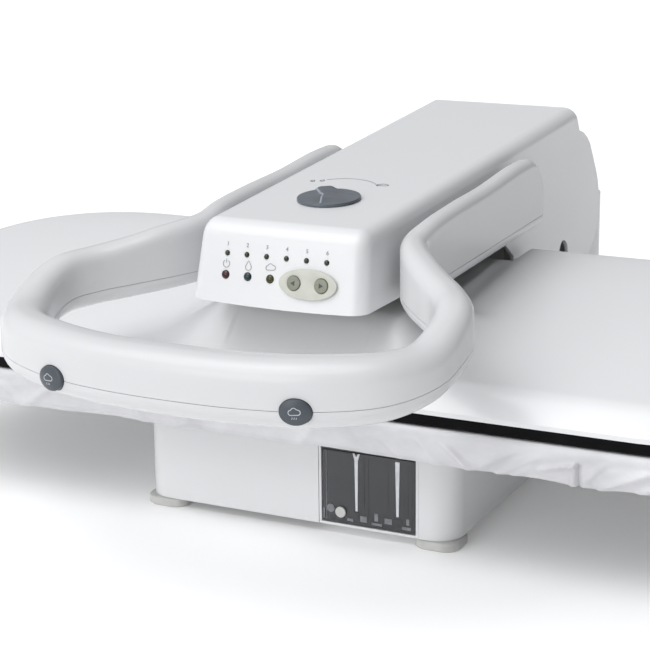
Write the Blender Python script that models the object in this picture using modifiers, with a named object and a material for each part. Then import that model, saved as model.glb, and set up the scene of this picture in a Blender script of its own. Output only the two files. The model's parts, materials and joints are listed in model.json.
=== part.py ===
"""Steam ironing press: a free-standing base with a padded board, and a heated platen
on a head that a loop handle lifts about a shaft at the back.

Metres, +Z up. X runs along the board, the handle is towards -Y, and the origin lies
on the ground under the middle of the whole press.
"""

import math

import bmesh
import bpy
from mathutils import Matrix, Vector

# Clearances and cutting
GAP = 0.0003
RUNNING_GAP = 0.0015
OVERRUN = 0.004
WELD = 0.00005
SHELL = 0.0025
SHEET = 0.0015

# Whole press. Depths are counted backwards from the platen's front edge.
REAR_REACH = 0.452

# Ground and base
FOOT_HEIGHT = 0.006
FOOT_LENGTH = 0.030
FOOT_PROUD = 0.0012
BASE_HALF = 0.1112
BASE_FRONT = 0.0233
BASE_REAR = 0.440
BASE_TOP = 0.0667
BASE_CORNER = 0.017
TRAY_THICK = 0.002

# Board, platen and their cloth
PLATE_HALF = 0.350
PLATE_DEPTH = 0.270
PLATE_CORNER = 0.120
CLOTH_PROUD = 0.0035
CLOTH_LOW = BASE_TOP + GAP
CLOTH_TOP = 0.0893
CLOTH_THICK = 0.0014
PAN_THICK = 0.0015
PAN_RIM = 0.009
PAN_INSET = 0.006
SKIRT_LOW = 0.0900
SKIRT_TOP = 0.0967
SKIRT_WIDTH = 0.010
SKIRT_STEP = 0.0015
SOLE_THICK = 0.005
SOLE_LOW = CLOTH_TOP + GAP
SOLE_CLEARANCE = 0.0005
HEM_WAVES = 34
HEM_WAVE = 0.0011
FOLD_WAVES = 12
FOLD_WAVE = 0.0007

# Platen cover
COVER_LIP = 0.003
CREST_IN = 0.020
CREST_Z = 0.115
COVER_REAR_Z = 0.1425
COVER_DROOP = 0.0010
FRONT_STEEPNESS = 1.5
REAR_STEEPNESS = 5.0
VALLEY_HALF = 0.0480
VALLEY_REAR_HALF = 0.0722
VALLEY_BLEND = 0.0020
VALLEY_WIDENS_FROM = 0.2214
VALLEY_WIDENS_TO = 0.2336
NECK_HOLE_CLEARANCE = 0.003
NOSE_UNDER_HEAD = 0.0110
NOSE_FOOT = 0.014
NOSE_FRONT = 0.055
NOSE_FALL = 0.024
NOSE_BEFORE_HOLE = 0.007
NOSE_HALF = 0.052
NOSE_BLEND = 0.058

# Head and hinge
HINGE_DEPTH = 0.385
HINGE_Z = 0.150
DRUM_RADIUS = 0.0445
DRUM_GAP = 0.002
HEAD_FACE_FOOT = 0.002
HEAD_LOW = 0.153
HEAD_LEAN = math.radians(12.8)
HEAD_FACE_TOP = 0.0505
HEAD_TOP_FRONT = 0.026
HEAD_TOP_FRONT_Z = 0.2025
HEAD_TOP_REAR = 0.384
HEAD_TOP_REAR_Z = 0.2241
HEAD_LEG_FRONT = 0.245
HEAD_LEG_LOW = 0.108
LEG_SLANT_FRONT = 0.226
LEG_SLANT_Z = 0.139
FLOOR_REAR = 0.250
HEAD_HALF_FRONT = 0.0605
HEAD_HALF_REAR = 0.0655
HEAD_SIDE_LEAN = 0.0045
HEAD_ROUND = 0.009
HEAD_FLOOR = 0.0025

# Front panel
LAMP_ROW = 0.0302
LAMP_SPACING = 0.0138
LAMP_COUNT = 6
LAMP_MIDDLE = -0.0015
LAMP_RADIUS = 0.0015
LAMP_PROUD = 0.0006
STATE_ROW = 0.0167
STATE_LEFT = 0.0360
STATE_SPACING = 0.0157
STATE_RADIUS = 0.0025
PAD_X = 0.0221
PAD_ROW = 0.0158
PAD_HALF_X = 0.0198
PAD_HALF_Z = 0.0096
PAD_THICK = 0.0012
SET_HALF_SPACING = 0.0094
SET_RADIUS = 0.0044
SET_PROUD = 0.0014
SET_TRAVEL = 0.0008
BOARD_BACK = 0.0105
CIRCUIT_THICK = 0.0016

# Dial on the head
DIAL_DEPTH = 0.0795
DIAL_RADIUS = 0.0208
DIAL_HEIGHT = 0.0046
DIAL_SKIRT = 0.0022
DIAL_GRIP_HALF = 0.0052
DIAL_STEM_RADIUS = 0.003
POT_RADIUS = 0.008
POT_HEIGHT = 0.009

# Handle loop
LOOP_HALF = 0.136
LOOP_FRONT = 0.119
ARM_HALF = 0.075
ARM_START = 0.068
HANDLE_SHAFT_DEPTH = 0.232
ARM_BEHIND_SHAFT = 0.025
ARM_END = HANDLE_SHAFT_DEPTH + ARM_BEHIND_SHAFT
SEAM_FRONT_Z = 0.1317
SEAM_ARM_Z = 0.1625
SEAM_END_Z = 0.1678
TOP_FRONT_Z = 0.1595
TOP_ARM_Z = 0.2105
GRIP_THICK = 0.030
ARM_THICK = 0.014
GRIP_BELLY = 0.0126
ARM_BELLY = 0.008
HANDLE_SHAFT_Z = 0.185
HANDLE_SHAFT_RADIUS = 0.005
CORE_RADIUS = 0.0042
CORE_RISE = 0.0135
# Each row: share of LOOP_HALF, share of the run from loop front to arm start, then how far
# the seam, the top and the slimming have gone from their front value to their arm value.
LOOP_SHARES = (
    (0.0000, 0.0000, 0.000, 0.00, 0.00),
    (0.3676, 0.0160, 0.006, 0.00, 0.00),
    (0.6471, 0.0567, 0.050, 0.03, 0.00),
    (0.8559, 0.1283, 0.150, 0.05, 0.00),
    (0.9654, 0.2337, 0.340, 0.09, 0.05),
    (1.0000, 0.3529, 0.570, 0.25, 0.31),
    (0.9838, 0.4652, 0.720, 0.40, 0.44),
    (0.8993, 0.5668, 0.800, 0.46, 0.50),
    (0.7868, 0.6471, 0.870, 0.54, 0.56),
    (0.6765, 0.7273, 0.940, 0.64, 0.63),
    (0.5956, 0.8075, 0.980, 0.70, 0.75),
    (0.5515, 0.8877, 0.990, 0.74, 0.88),
    (0.5515, 1.0000, 1.000, 0.81, 1.00),
)
# Along each arm: share of the arm's straight run, then the top's share as above
ARM_SHARES = ((0.25, 0.87), (0.55, 0.91), (0.85, 0.99), (1.00, 1.00))
ARM_ROUND = 0.022

# Steam buttons
STEAM_X = 0.0755
STEAM_HALF_WIDTH = 0.0093
STEAM_HALF_HEIGHT = 0.0075
STEAM_PROUD = 0.0040
STEAM_CAP = 0.0062
STEAM_STEM = 0.0050
STEAM_STEM_RADIUS = 0.0035
STEAM_TRAVEL = 0.0025
STEAM_CLEARANCE = 0.0004

# Hinge parts
SHAFT_RADIUS = 0.008
BUSH_WALL = 0.003
BUSH_RUN = 0.00005
LUG_RADIUS = 0.020
BRACKET_X = 0.0455
BRACKET_THICK = 0.004
BRACKET_FOOT = 0.016
FRAME_HALF = 0.040
FRAME_THICK = 0.003
FRAME_LOW = 0.1580
FRAME_HIGH = 0.1975
FRAME_FRONT = 0.070
FRAME_REAR = 0.330
COLUMN_FRONT = 0.297
COLUMN_CORNER = 0.016

# Water tank and its bay
TANK_WIDTH = 0.0646
TANK_FROM_SIDE = 0.0263
TANK_RIGHT = BASE_HALF - TANK_FROM_SIDE
TANK_LEFT = TANK_RIGHT - TANK_WIDTH
TANK_LOW = 0.0085
TANK_HIGH = 0.0590
TANK_BACK = 0.138
TANK_WALL = 0.0020
TANK_PLAY = 0.0006
TANK_TRAVEL = 0.118
BAY_WALL = 0.0016
CAP_RADIUS = 0.009
FLOAT_RADIUS = 0.0036

ROUND = 24
SMALL_ROUND = 12
TUBE_RESOLUTION = 2

# The origin lies halfway between the handle's front and the back feet
FRONT_Y = (LOOP_FRONT + GRIP_THICK / 2 - REAR_REACH) / 2


def back(depth):
    """The y of a point this far behind the platen's front edge."""
    return FRONT_Y + depth


def clear_scene():
    for obj in list(bpy.data.objects):
        bpy.data.objects.remove(obj, do_unlink=True)


def new_collection(name):
    collection = bpy.data.collections.new(name)
    bpy.context.scene.collection.children.link(collection)
    return collection


clear_scene()
PARTS = new_collection("steam_ironing_press")
CUTTERS = new_collection("cutters")
CUTTERS.hide_render = True

HINGE = Vector((0, back(HINGE_DEPTH), HINGE_Z))
HANDLE_AXIS = Vector((0, back(HANDLE_SHAFT_DEPTH), HANDLE_SHAFT_Z))


# Materials

def plain_material(name, colour, roughness, metallic=0.0, alpha=1.0):
    material = bpy.data.materials.new(name)
    material.use_nodes = True
    shader = material.node_tree.nodes["Principled BSDF"]
    shader.inputs["Base Color"].default_value = (*colour, 1)
    shader.inputs["Roughness"].default_value = roughness
    shader.inputs["Metallic"].default_value = metallic
    shader.inputs["Alpha"].default_value = alpha
    material.diffuse_color = (*colour, alpha)
    return material


WHITE_ABS = plain_material("white ABS", (0.80, 0.80, 0.82), 0.28)
INNER_ABS = plain_material("pale grey ABS", (0.62, 0.62, 0.62), 0.5)
SLATE_ABS = plain_material("slate grey ABS", (0.15, 0.17, 0.19), 0.35)
BLACK_NYLON = plain_material("black nylon", (0.02, 0.02, 0.022), 0.5)
SMOKE_TANK = plain_material("smoke polycarbonate", (0.10, 0.11, 0.12), 0.1, alpha=0.6)
CLOTH = plain_material("silvered cotton", (0.72, 0.72, 0.74), 0.7)
FOAM = plain_material("polyester felt", (0.75, 0.72, 0.62), 0.95)
STEEL = plain_material("zinc plated steel", (0.60, 0.60, 0.58), 0.35, 1.0)
SPRING_STEEL = plain_material("spring steel", (0.35, 0.35, 0.36), 0.3, 1.0)
ALUMINIUM = plain_material("cast aluminium", (0.75, 0.75, 0.76), 0.4, 1.0)
BRONZE = plain_material("sintered bronze", (0.55, 0.35, 0.15), 0.45, 1.0)
CIRCUIT = plain_material("green circuit board", (0.03, 0.20, 0.08), 0.5)
COMPONENT = plain_material("black component", (0.03, 0.03, 0.03), 0.5)
SILICONE = plain_material("white silicone", (0.80, 0.78, 0.72), 0.6)
RUBBER = plain_material("pale grey rubber", (0.55, 0.54, 0.50), 0.8)
LAMP = plain_material("dark lamp lens", (0.06, 0.07, 0.03), 0.2)
RED_LAMP = plain_material("red lamp lens", (0.10, 0.01, 0.01), 0.2)
TEAL_LAMP = plain_material("teal lamp lens", (0.01, 0.07, 0.06), 0.2)
OLIVE_LAMP = plain_material("olive lamp lens", (0.12, 0.12, 0.01), 0.2)
PAD_GREY = plain_material("warm grey pad", (0.62, 0.62, 0.56), 0.5)
KEY_GREY = plain_material("olive grey key", (0.36, 0.38, 0.30), 0.5)


# Moving bodies: each has an empty on its joint's axis

def body_empty(name, place, parent=None):
    empty = bpy.data.objects.new(name, None)
    PARTS.objects.link(empty)
    empty.location = place
    if parent:
        empty.parent = parent
        empty.matrix_parent_inverse = parent.matrix_world.inverted()
    bpy.context.view_layer.update()
    return empty


# Mesh building blocks

def add_box(bm, low, high):
    low, high = Vector(low), Vector(high)
    size = Matrix.Diagonal((*(high - low), 1))
    return bmesh.ops.create_cube(bm, size=1, matrix=Matrix.Translation((low + high) / 2) @ size)["verts"]


def add_rod(bm, start, end, radius, sides=SMALL_ROUND, end_radius=None):
    start, end = Vector(start), Vector(end)
    turn = (end - start).to_track_quat("Z", "Y").to_matrix().to_4x4()
    made = bmesh.ops.create_cone(
        bm,
        cap_ends=True,
        segments=sides,
        radius1=radius,
        radius2=radius if end_radius is None else end_radius,
        depth=(end - start).length,
        matrix=Matrix.Translation((start + end) / 2) @ turn,
    )
    return made["verts"]


def add_prism(bm, outline, low, high, place):
    """Extrudes a flat outline between two levels. place(u, v, level) gives a point in space."""
    corners = [bm.verts.new(place(u, v, low)) for u, v in outline]
    face = bm.faces.new(corners)
    made = bmesh.ops.extrude_face_region(bm, geom=[face])["geom"]
    verts = [item for item in made if isinstance(item, bmesh.types.BMVert)]
    shift = Vector(place(0, 0, high)) - Vector(place(0, 0, low))
    bmesh.ops.translate(bm, verts=verts, vec=shift)
    return verts


def upright(u, v, level):
    return (u, v, level)


def sideways(u, v, level):
    """Outline in Y and Z, extruded along X."""
    return (level, u, v)


def arc(centre, radius, start, end, steps):
    """Points on an arc, by angles in degrees."""
    points = []
    for k in range(steps + 1):
        angle = math.radians(start + (end - start) * k / steps)
        points.append((centre[0] + radius * math.cos(angle), centre[1] + radius * math.sin(angle)))
    return points


def rounded_rectangle(low_x, high_x, low_y, high_y, radius, steps=5):
    return (
        arc((high_x - radius, low_y + radius), radius, -90, 0, steps)
        + arc((high_x - radius, high_y - radius), radius, 0, 90, steps)
        + arc((low_x + radius, high_y - radius), radius, 90, 180, steps)
        + arc((low_x + radius, low_y + radius), radius, 180, 270, steps)
    )


def plate_outline(grow, steps=8):
    """The platen's outline in plan, moved outwards by grow."""
    return rounded_rectangle(
        -PLATE_HALF - grow,
        PLATE_HALF + grow,
        back(-grow),
        back(PLATE_DEPTH + grow),
        PLATE_CORNER + grow,
        steps,
    )


def finished_mesh(name, bm, smooth=True):
    bmesh.ops.remove_doubles(bm, verts=bm.verts, dist=WELD)
    bmesh.ops.recalc_face_normals(bm, faces=bm.faces)
    mesh = bpy.data.meshes.new(name)
    bm.to_mesh(mesh)
    bm.free()
    if smooth:
        mesh.shade_smooth()
        mesh.set_sharp_from_angle(angle=math.radians(35))
    return mesh


def part(name, bm, material, body):
    """Puts a mesh in the scene as one sub-part, riding on its body's empty."""
    obj = bpy.data.objects.new(name, finished_mesh(name, bm))
    obj.data.materials.append(material)
    PARTS.objects.link(obj)
    obj.parent = body
    obj.matrix_parent_inverse = body.matrix_world.inverted()
    return obj


def tool(name, bm):
    """A hidden solid that a Boolean uses."""
    obj = bpy.data.objects.new(name, finished_mesh(name, bm, smooth=False))
    CUTTERS.objects.link(obj)
    obj.hide_render = True
    obj.display_type = "WIRE"
    return obj


def combine(obj, operation, helper):
    modifier = obj.modifiers.new(helper.name, "BOOLEAN")
    modifier.operation = operation
    modifier.solver = "EXACT"
    modifier.object = helper


def cut(obj, name, bm):
    combine(obj, "DIFFERENCE", tool(name, bm))


def join(obj, name, bm):
    combine(obj, "UNION", tool(name, bm))


def round_edges(obj, width, segments=2, angle=50):
    modifier = obj.modifiers.new("rounded edges", "BEVEL")
    modifier.width = width
    modifier.segments = segments
    modifier.limit_method = "ANGLE"
    modifier.angle_limit = math.radians(angle)
    modifier.use_clamp_overlap = True


def thicken(obj, thickness, offset=-1):
    modifier = obj.modifiers.new("wall", "SOLIDIFY")
    modifier.thickness = thickness
    modifier.offset = offset
    modifier.use_even_offset = True
    modifier.use_quality_normals = True


def add_ring(bm, centre, axis, outer, inner, length, sides=ROUND):
    """A plain bush, washer or ring: a flat section spun round an axis."""
    axis = Vector(axis).normalized()
    out = axis.orthogonal().normalized()
    verts = []
    for radius, share in ((outer, -0.5), (outer, 0.5), (inner, 0.5), (inner, -0.5)):
        verts.append(bm.verts.new(Vector(centre) + out * radius + axis * (share * length)))
    edges = [bm.edges.new(pair) for pair in zip(verts, verts[1:] + verts[:1])]
    bmesh.ops.spin(
        bm,
        geom=verts + edges,
        cent=centre,
        axis=axis,
        angle=math.tau,
        steps=sides,
        use_merge=True,
    )


def bridge(bm, first, second, closed=False):
    """Quads between two rows of points."""
    count = len(first)
    for k in range(count if closed else count - 1):
        n = (k + 1) % count
        bm.faces.new((first[k], first[n], second[n], second[k]))


def add_tube(bm, points, radius):
    """A round bar or hose that follows points: a bevelled curve with filled ends, made a mesh."""
    curve = bpy.data.curves.new("tube", "CURVE")
    curve.dimensions = "3D"
    curve.bevel_depth = radius
    curve.bevel_resolution = TUBE_RESOLUTION
    curve.use_fill_caps = True
    spline = curve.splines.new("POLY")
    spline.points.add(len(points) - 1)
    for spot, point in zip(spline.points, points):
        spot.co = (*point, 1)
    holder = bpy.data.objects.new("tube", curve)
    CUTTERS.objects.link(holder)
    bpy.context.view_layer.update()
    mesh = bpy.data.meshes.new_from_object(holder)
    bm.from_mesh(mesh)
    bpy.data.objects.remove(holder, do_unlink=True)
    bpy.data.meshes.remove(mesh)


def soft_step(value, start, end):
    """0 before start, 1 after end, and smooth between."""
    share = min(max((value - start) / (end - start), 0), 1)
    return share * share * (3 - 2 * share)


def between(start, end, share):
    return start + (end - start) * share


def mitred(points, inset, closed=True):
    """Moves an outline to its left by inset, keeping each run parallel."""
    moved = []
    count = len(points)
    for k, point in enumerate(points):
        here = Vector(point)
        before = Vector(points[k - 1]) if closed or k else None
        after = Vector(points[(k + 1) % count]) if closed or k < count - 1 else None
        runs = []
        if before is not None:
            runs.append((here - before).normalized())
        if after is not None:
            runs.append((after - here).normalized())
        normals = [Vector((-run.y, run.x)) for run in runs]
        middle = sum(normals, Vector((0, 0))).normalized()
        moved.append(tuple(here + middle * (inset / middle.dot(normals[0]))))
    return moved


def filleted(corners):
    """An outline from corners (u, v, radius, steps), with each radius as an arc."""
    points = []
    count = len(corners)
    for k, (u, v, radius, steps) in enumerate(corners):
        here = Vector((u, v))
        if not radius:
            points.append((u, v))
            continue
        to_before = (Vector(corners[k - 1][:2]) - here).normalized()
        to_after = (Vector(corners[(k + 1) % count][:2]) - here).normalized()
        half = to_before.angle(to_after) / 2
        run = radius / math.tan(half)
        centre = here + (to_before + to_after).normalized() * (radius / math.sin(half))
        first = here + to_before * run - centre
        last = here + to_after * run - centre
        for n in range(steps + 1):
            share = n / steps
            points.append(tuple(centre + first.slerp(last, share).normalized() * radius))
    return points


def spaced(outline, count):
    """The same closed outline with count points at even distances."""
    loop = [Vector(p) for p in outline] + [Vector(outline[0])]
    runs = [(b - a).length for a, b in zip(loop, loop[1:])]
    step = sum(runs) / count
    points = []
    index = 0
    done = 0.0
    for k in range(count):
        goal = k * step
        while done + runs[index] < goal:
            done += runs[index]
            index += 1
        points.append(tuple(loop[index].lerp(loop[index + 1], (goal - done) / runs[index])))
    return points


def add_frame(bm, outer, inner, low, high):
    """A closed band between two outlines with the same number of points."""
    rings = []
    for outline, level in ((outer, low), (outer, high), (inner, high), (inner, low)):
        rings.append([bm.verts.new((x, y, level)) for x, y in outline])
    for a, b in zip(rings, rings[1:] + rings[:1]):
        bridge(bm, a, b, closed=True)


BASE = body_empty("base_body", (0, 0, 0))
HEAD = body_empty("head_body", HINGE, BASE)
HANDLE = body_empty("handle_body", HANDLE_AXIS, HEAD)


# Base housing, tray and feet

HOUSING_LOW = FOOT_HEIGHT + GAP
HOUSING_REAR = REAR_REACH - FOOT_PROUD
DECK_LOW = BASE_TOP - SHELL
BAY_LEFT = TANK_LEFT - TANK_PLAY - BAY_WALL
BAY_RIGHT = TANK_RIGHT + TANK_PLAY + BAY_WALL
BAY_LOW = TANK_LOW - TANK_PLAY - BAY_WALL
BAY_HIGH = TANK_HIGH + TANK_PLAY + BAY_WALL
BAY_BACK = TANK_BACK + TANK_PLAY + BAY_WALL
TRAY_LOW = HOUSING_LOW
TRAY_HIGH = TRAY_LOW + TRAY_THICK
SCREW_HEAD_RADIUS = 0.0032
SCREW_HEAD_HEIGHT = 0.0014
DECK_SLOT_HALF = 0.054
DECK_SLOT_FRONT = 0.318
DECK_SLOT_REAR = 0.428


def base_outline(inset):
    return rounded_rectangle(
        -BASE_HALF + inset,
        BASE_HALF - inset,
        back(BASE_FRONT + inset),
        back(HOUSING_REAR - inset),
        BASE_CORNER - inset,
    )


def make_base_housing():
    bm = bmesh.new()
    add_prism(bm, base_outline(0), HOUSING_LOW, BASE_TOP, upright)
    housing = part("base_housing", bm, WHITE_ABS, BASE)
    bm = bmesh.new()
    add_prism(bm, base_outline(SHELL), HOUSING_LOW - OVERRUN, DECK_LOW, upright)
    cut(housing, "housing_hollow", bm)
    bm = bmesh.new()
    add_box(
        bm,
        (BAY_LEFT - GAP, back(BASE_FRONT - OVERRUN), HOUSING_LOW - OVERRUN),
        (BAY_RIGHT + GAP, back(BASE_FRONT + SHELL + OVERRUN), BAY_HIGH + GAP),
    )
    add_box(
        bm,
        (-DECK_SLOT_HALF, back(DECK_SLOT_FRONT), DECK_LOW - OVERRUN),
        (DECK_SLOT_HALF, back(DECK_SLOT_REAR), BASE_TOP + OVERRUN),
    )
    add_rod(
        bm,
        (GLAND_X, back(HOUSING_REAR - SHELL - OVERRUN), GLAND_Z),
        (GLAND_X, back(HOUSING_REAR + OVERRUN), GLAND_Z),
        GLAND_RADIUS + GAP,
    )
    cut(housing, "housing_openings", bm)


def make_base_tray():
    bm = bmesh.new()
    add_prism(bm, base_outline(SHELL + GAP), TRAY_LOW, TRAY_HIGH, upright)
    tray = part("base_tray", bm, STEEL, BASE)
    bm = bmesh.new()
    add_box(
        bm,
        (BAY_LEFT - GAP, back(BASE_FRONT - OVERRUN), TRAY_LOW - OVERRUN),
        (BAY_RIGHT + GAP, back(BAY_BACK + GAP), TRAY_HIGH + OVERRUN),
    )
    cut(tray, "tray_notch", bm)
    bm = bmesh.new()
    for x, depth in power_posts():
        top = TRAY_HIGH + GAP + POST_HEIGHT
        add_rod(bm, (x, back(depth), TRAY_LOW + SHEET / 2), (x, back(depth), top), POST_RADIUS)
    join(tray, "tray_posts", bm)


def make_feet():
    front = back(BASE_FRONT - FOOT_PROUD)
    rear = back(REAR_REACH)
    out = BASE_HALF + FOOT_PROUD
    for name, side in (("left", -1), ("right", 1)):
        for end, edge, inward in (("front", front, 1), ("rear", rear, -1)):
            xs = sorted((side * out, side * (out - FOOT_LENGTH)))
            ys = sorted((edge, edge + inward * FOOT_LENGTH))
            outline = rounded_rectangle(*xs, *ys, FOOT_LENGTH / 3, 3)
            bm = bmesh.new()
            add_prism(bm, outline, 0, FOOT_HEIGHT, upright)
            part("foot_%s_%s" % (end, name), bm, RUBBER, BASE)


# Column behind the board

COLUMN_REAR = HOUSING_REAR - FOOT_PROUD


def column_plan(inset):
    half = HEAD_HALF_REAR - inset
    front, rear = back(COLUMN_FRONT + inset), back(COLUMN_REAR - inset)
    return rounded_rectangle(-half, half, front, rear, COLUMN_CORNER - inset)


def make_column_cover():
    """A box with no top, with a round bite for the head's drum."""
    bm = bmesh.new()
    add_prism(bm, column_plan(0), BASE_TOP + GAP, HINGE_Z, upright)
    cover = part("column_cover", bm, WHITE_ABS, BASE)
    bm = bmesh.new()
    add_prism(bm, column_plan(SHELL), BASE_TOP - OVERRUN, HINGE_Z + OVERRUN, upright)
    cut(cover, "column_hollow", bm)
    bite = DRUM_RADIUS + DRUM_GAP
    rim = HEAD_LEG_LOW - DRUM_GAP
    start = math.degrees(math.asin((rim - HINGE_Z) / bite))
    front = back(COLUMN_FRONT - OVERRUN)
    outline = [(front, rim)]
    outline += arc((HINGE.y, HINGE_Z), bite, -180 - start, 0, 12)
    outline += [(HINGE.y + bite, HINGE_Z + OVERRUN), (front, HINGE_Z + OVERRUN)]
    reach = HEAD_HALF_REAR + OVERRUN
    bm = bmesh.new()
    add_prism(bm, outline, -reach, reach, sideways)
    cut(cover, "column_bite", bm)


def bracket_outline():
    foot = TRAY_HIGH + GAP
    spread = LUG_RADIUS + BRACKET_FOOT
    return (
        [(HINGE.y - spread, foot), (HINGE.y + spread, foot)]
        + [(HINGE.y + spread, DECK_LOW)]
        + arc((HINGE.y, HINGE_Z), LUG_RADIUS, 0, 180, 10)
        + [(HINGE.y - spread, DECK_LOW)]
    )


def make_hinge_bracket():
    """Two cheeks on one foot plate, with a tie across that the spring's legs bear on."""
    plates = bmesh.new()
    for side in (-1, 1):
        levels = sorted((side * (BRACKET_X - BRACKET_THICK / 2), side * (BRACKET_X + BRACKET_THICK / 2)))
        add_prism(plates, bracket_outline(), *levels, sideways)
    bracket = part("hinge_bracket", plates, STEEL, BASE)
    foot = TRAY_HIGH + GAP
    bm = bmesh.new()
    low = (-BRACKET_X, HINGE.y - LUG_RADIUS, foot)
    add_box(bm, low, (BRACKET_X, HINGE.y + LUG_RADIUS, foot + BRACKET_THICK))
    front = HINGE.y + spring_radius() + SPRING_WIRE + GAP
    tie = HINGE_Z - SPRING_LEG
    add_box(bm, (-BRACKET_X, front, tie), (BRACKET_X, front + BRACKET_THICK, tie + 3 * BRACKET_THICK))
    join(bracket, "bracket_plates", bm)
    reach = BRACKET_X + BRACKET_THICK
    bm = bmesh.new()
    add_rod(bm, (-reach, *HINGE.yz), (reach, *HINGE.yz), SHAFT_RADIUS + GAP, ROUND)
    cut(bracket, "bracket_bores", bm)


def make_hinge_shaft():
    reach = BRACKET_X + BRACKET_THICK
    bm = bmesh.new()
    add_rod(bm, (-reach, *HINGE.yz), (reach, *HINGE.yz), SHAFT_RADIUS, ROUND)
    part("hinge_shaft", bm, STEEL, BASE)


SPRING_X = 0.0275
SPRING_TURNS = 4
SPRING_WIRE = 0.0013
SPRING_GAP = 0.0008
SPRING_LEG = 0.038
SPRING_REACH = 0.062


def spring_radius():
    return SHAFT_RADIUS + RUNNING_GAP + 2 * SPRING_WIRE


def spring_points(side):
    """One coil of the double spring: from its leg at the bracket's tie to the bridge under the frame."""
    radius = spring_radius()
    pitch = 2 * SPRING_WIRE + SPRING_GAP
    steps = 8
    count = SPRING_TURNS * steps + steps // 4
    outer = SPRING_X + SPRING_TURNS * pitch / 2
    points = [(side * outer, HINGE.y + radius, HINGE_Z - SPRING_LEG)]
    for k in range(count + 1):
        angle = math.tau * k / steps
        x = side * (outer - pitch * k / steps)
        points.append((x, HINGE.y + radius * math.cos(angle), HINGE_Z + radius * math.sin(angle)))
    bridge_z = FRAME_LOW - 3 * GAP - SPRING_WIRE
    points.append((points[-1][0], HINGE.y - SPRING_REACH, bridge_z))
    return points


def make_hinge_spring():
    bm = bmesh.new()
    add_tube(bm, spring_points(-1) + spring_points(1)[::-1], SPRING_WIRE)
    part("hinge_spring", bm, SPRING_STEEL, BASE)


COLUMN_SCREW_X = 0.045
COLUMN_SCREW_Z = 0.090


def make_column_screws():
    """Two screws through the column's rear wall."""
    for name, side in (("left", -1), ("right", 1)):
        spot = (side * COLUMN_SCREW_X, back(COLUMN_REAR), COLUMN_SCREW_Z)
        bm = bmesh.new()
        add_rod(
            bm,
            (spot[0], spot[1] + GAP, spot[2]),
            (spot[0], spot[1] + GAP + SCREW_HEAD_HEIGHT, spot[2]),
            SCREW_HEAD_RADIUS,
        )
        part("column_screw_" + name, bm, STEEL, BASE)


# Inside the base

GLAND_FROM_SIDE = 0.0412
GLAND_X = GLAND_FROM_SIDE - BASE_HALF
GLAND_Z = 0.030
GLAND_RADIUS = 0.0080
GLAND_FLANGE = 0.0110
GLAND_BORE = 0.0038
GLAND_LENGTH = 0.016
GLAND_LIP = FOOT_PROUD - GAP
CIRCUIT_FROM_SIDE = 0.0112
CIRCUIT_LEFT = CIRCUIT_FROM_SIDE - BASE_HALF
CIRCUIT_RIGHT = -0.010
POWER_FRONT = 0.060
POWER_REAR = 0.190
POST_HEIGHT = 0.006
POST_RADIUS = 0.003
POST_INSET = 0.007
CORE_SIZE = (0.042, 0.036, 0.030)
PUMP_OFF_MIDDLE = 0.0006
PUMP_X = (TANK_LEFT + TANK_RIGHT) / 2 - PUMP_OFF_MIDDLE
PUMP_FRONT = 0.172
PUMP_LENGTH = 0.050
PUMP_RADIUS = 0.016
PUMP_Z = 0.030
NOZZLE_RADIUS = 0.0035
HOSE_RADIUS = 0.0035
VALVE_Z = 0.0185
VALVE_RADIUS = 0.0045
SEAT_LENGTH = 0.012


def make_cord_gland():
    rear = back(HOUSING_REAR)
    bm = bmesh.new()
    add_ring(
        bm,
        (GLAND_X, rear + GAP + GLAND_LIP / 2, GLAND_Z),
        (0, 1, 0),
        GLAND_FLANGE,
        GLAND_BORE,
        GLAND_LIP,
        SMALL_ROUND,
    )
    gland = part("cord_gland", bm, BLACK_NYLON, BASE)
    bm = bmesh.new()
    add_ring(
        bm,
        (GLAND_X, rear + GLAND_LIP - GLAND_LENGTH / 2, GLAND_Z),
        (0, 1, 0),
        GLAND_RADIUS,
        GLAND_BORE,
        GLAND_LENGTH,
        SMALL_ROUND,
    )
    join(gland, "gland_barrel", bm)


def power_posts():
    xs = (CIRCUIT_LEFT + POST_INSET, CIRCUIT_RIGHT - POST_INSET)
    depths = (POWER_FRONT + POST_INSET, POWER_REAR - POST_INSET)
    return [(x, depth) for x in xs for depth in depths]


def make_power_board():
    low = TRAY_HIGH + GAP + POST_HEIGHT + GAP
    bm = bmesh.new()
    add_box(
        bm,
        (CIRCUIT_LEFT, back(POWER_FRONT), low),
        (CIRCUIT_RIGHT, back(POWER_REAR), low + CIRCUIT_THICK),
    )
    part("power_board", bm, CIRCUIT, BASE)
    top = low + CIRCUIT_THICK + GAP
    middle = (CIRCUIT_LEFT + CIRCUIT_RIGHT) / 2
    length, width, height = CORE_SIZE
    front = POWER_FRONT + 2 * POST_INSET
    bm = bmesh.new()
    add_box(
        bm,
        (middle - length / 2, back(front), top),
        (middle + length / 2, back(front + width), top + height),
    )
    transformer = part("transformer", bm, COMPONENT, BASE)
    round_edges(transformer, SHEET)


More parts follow.
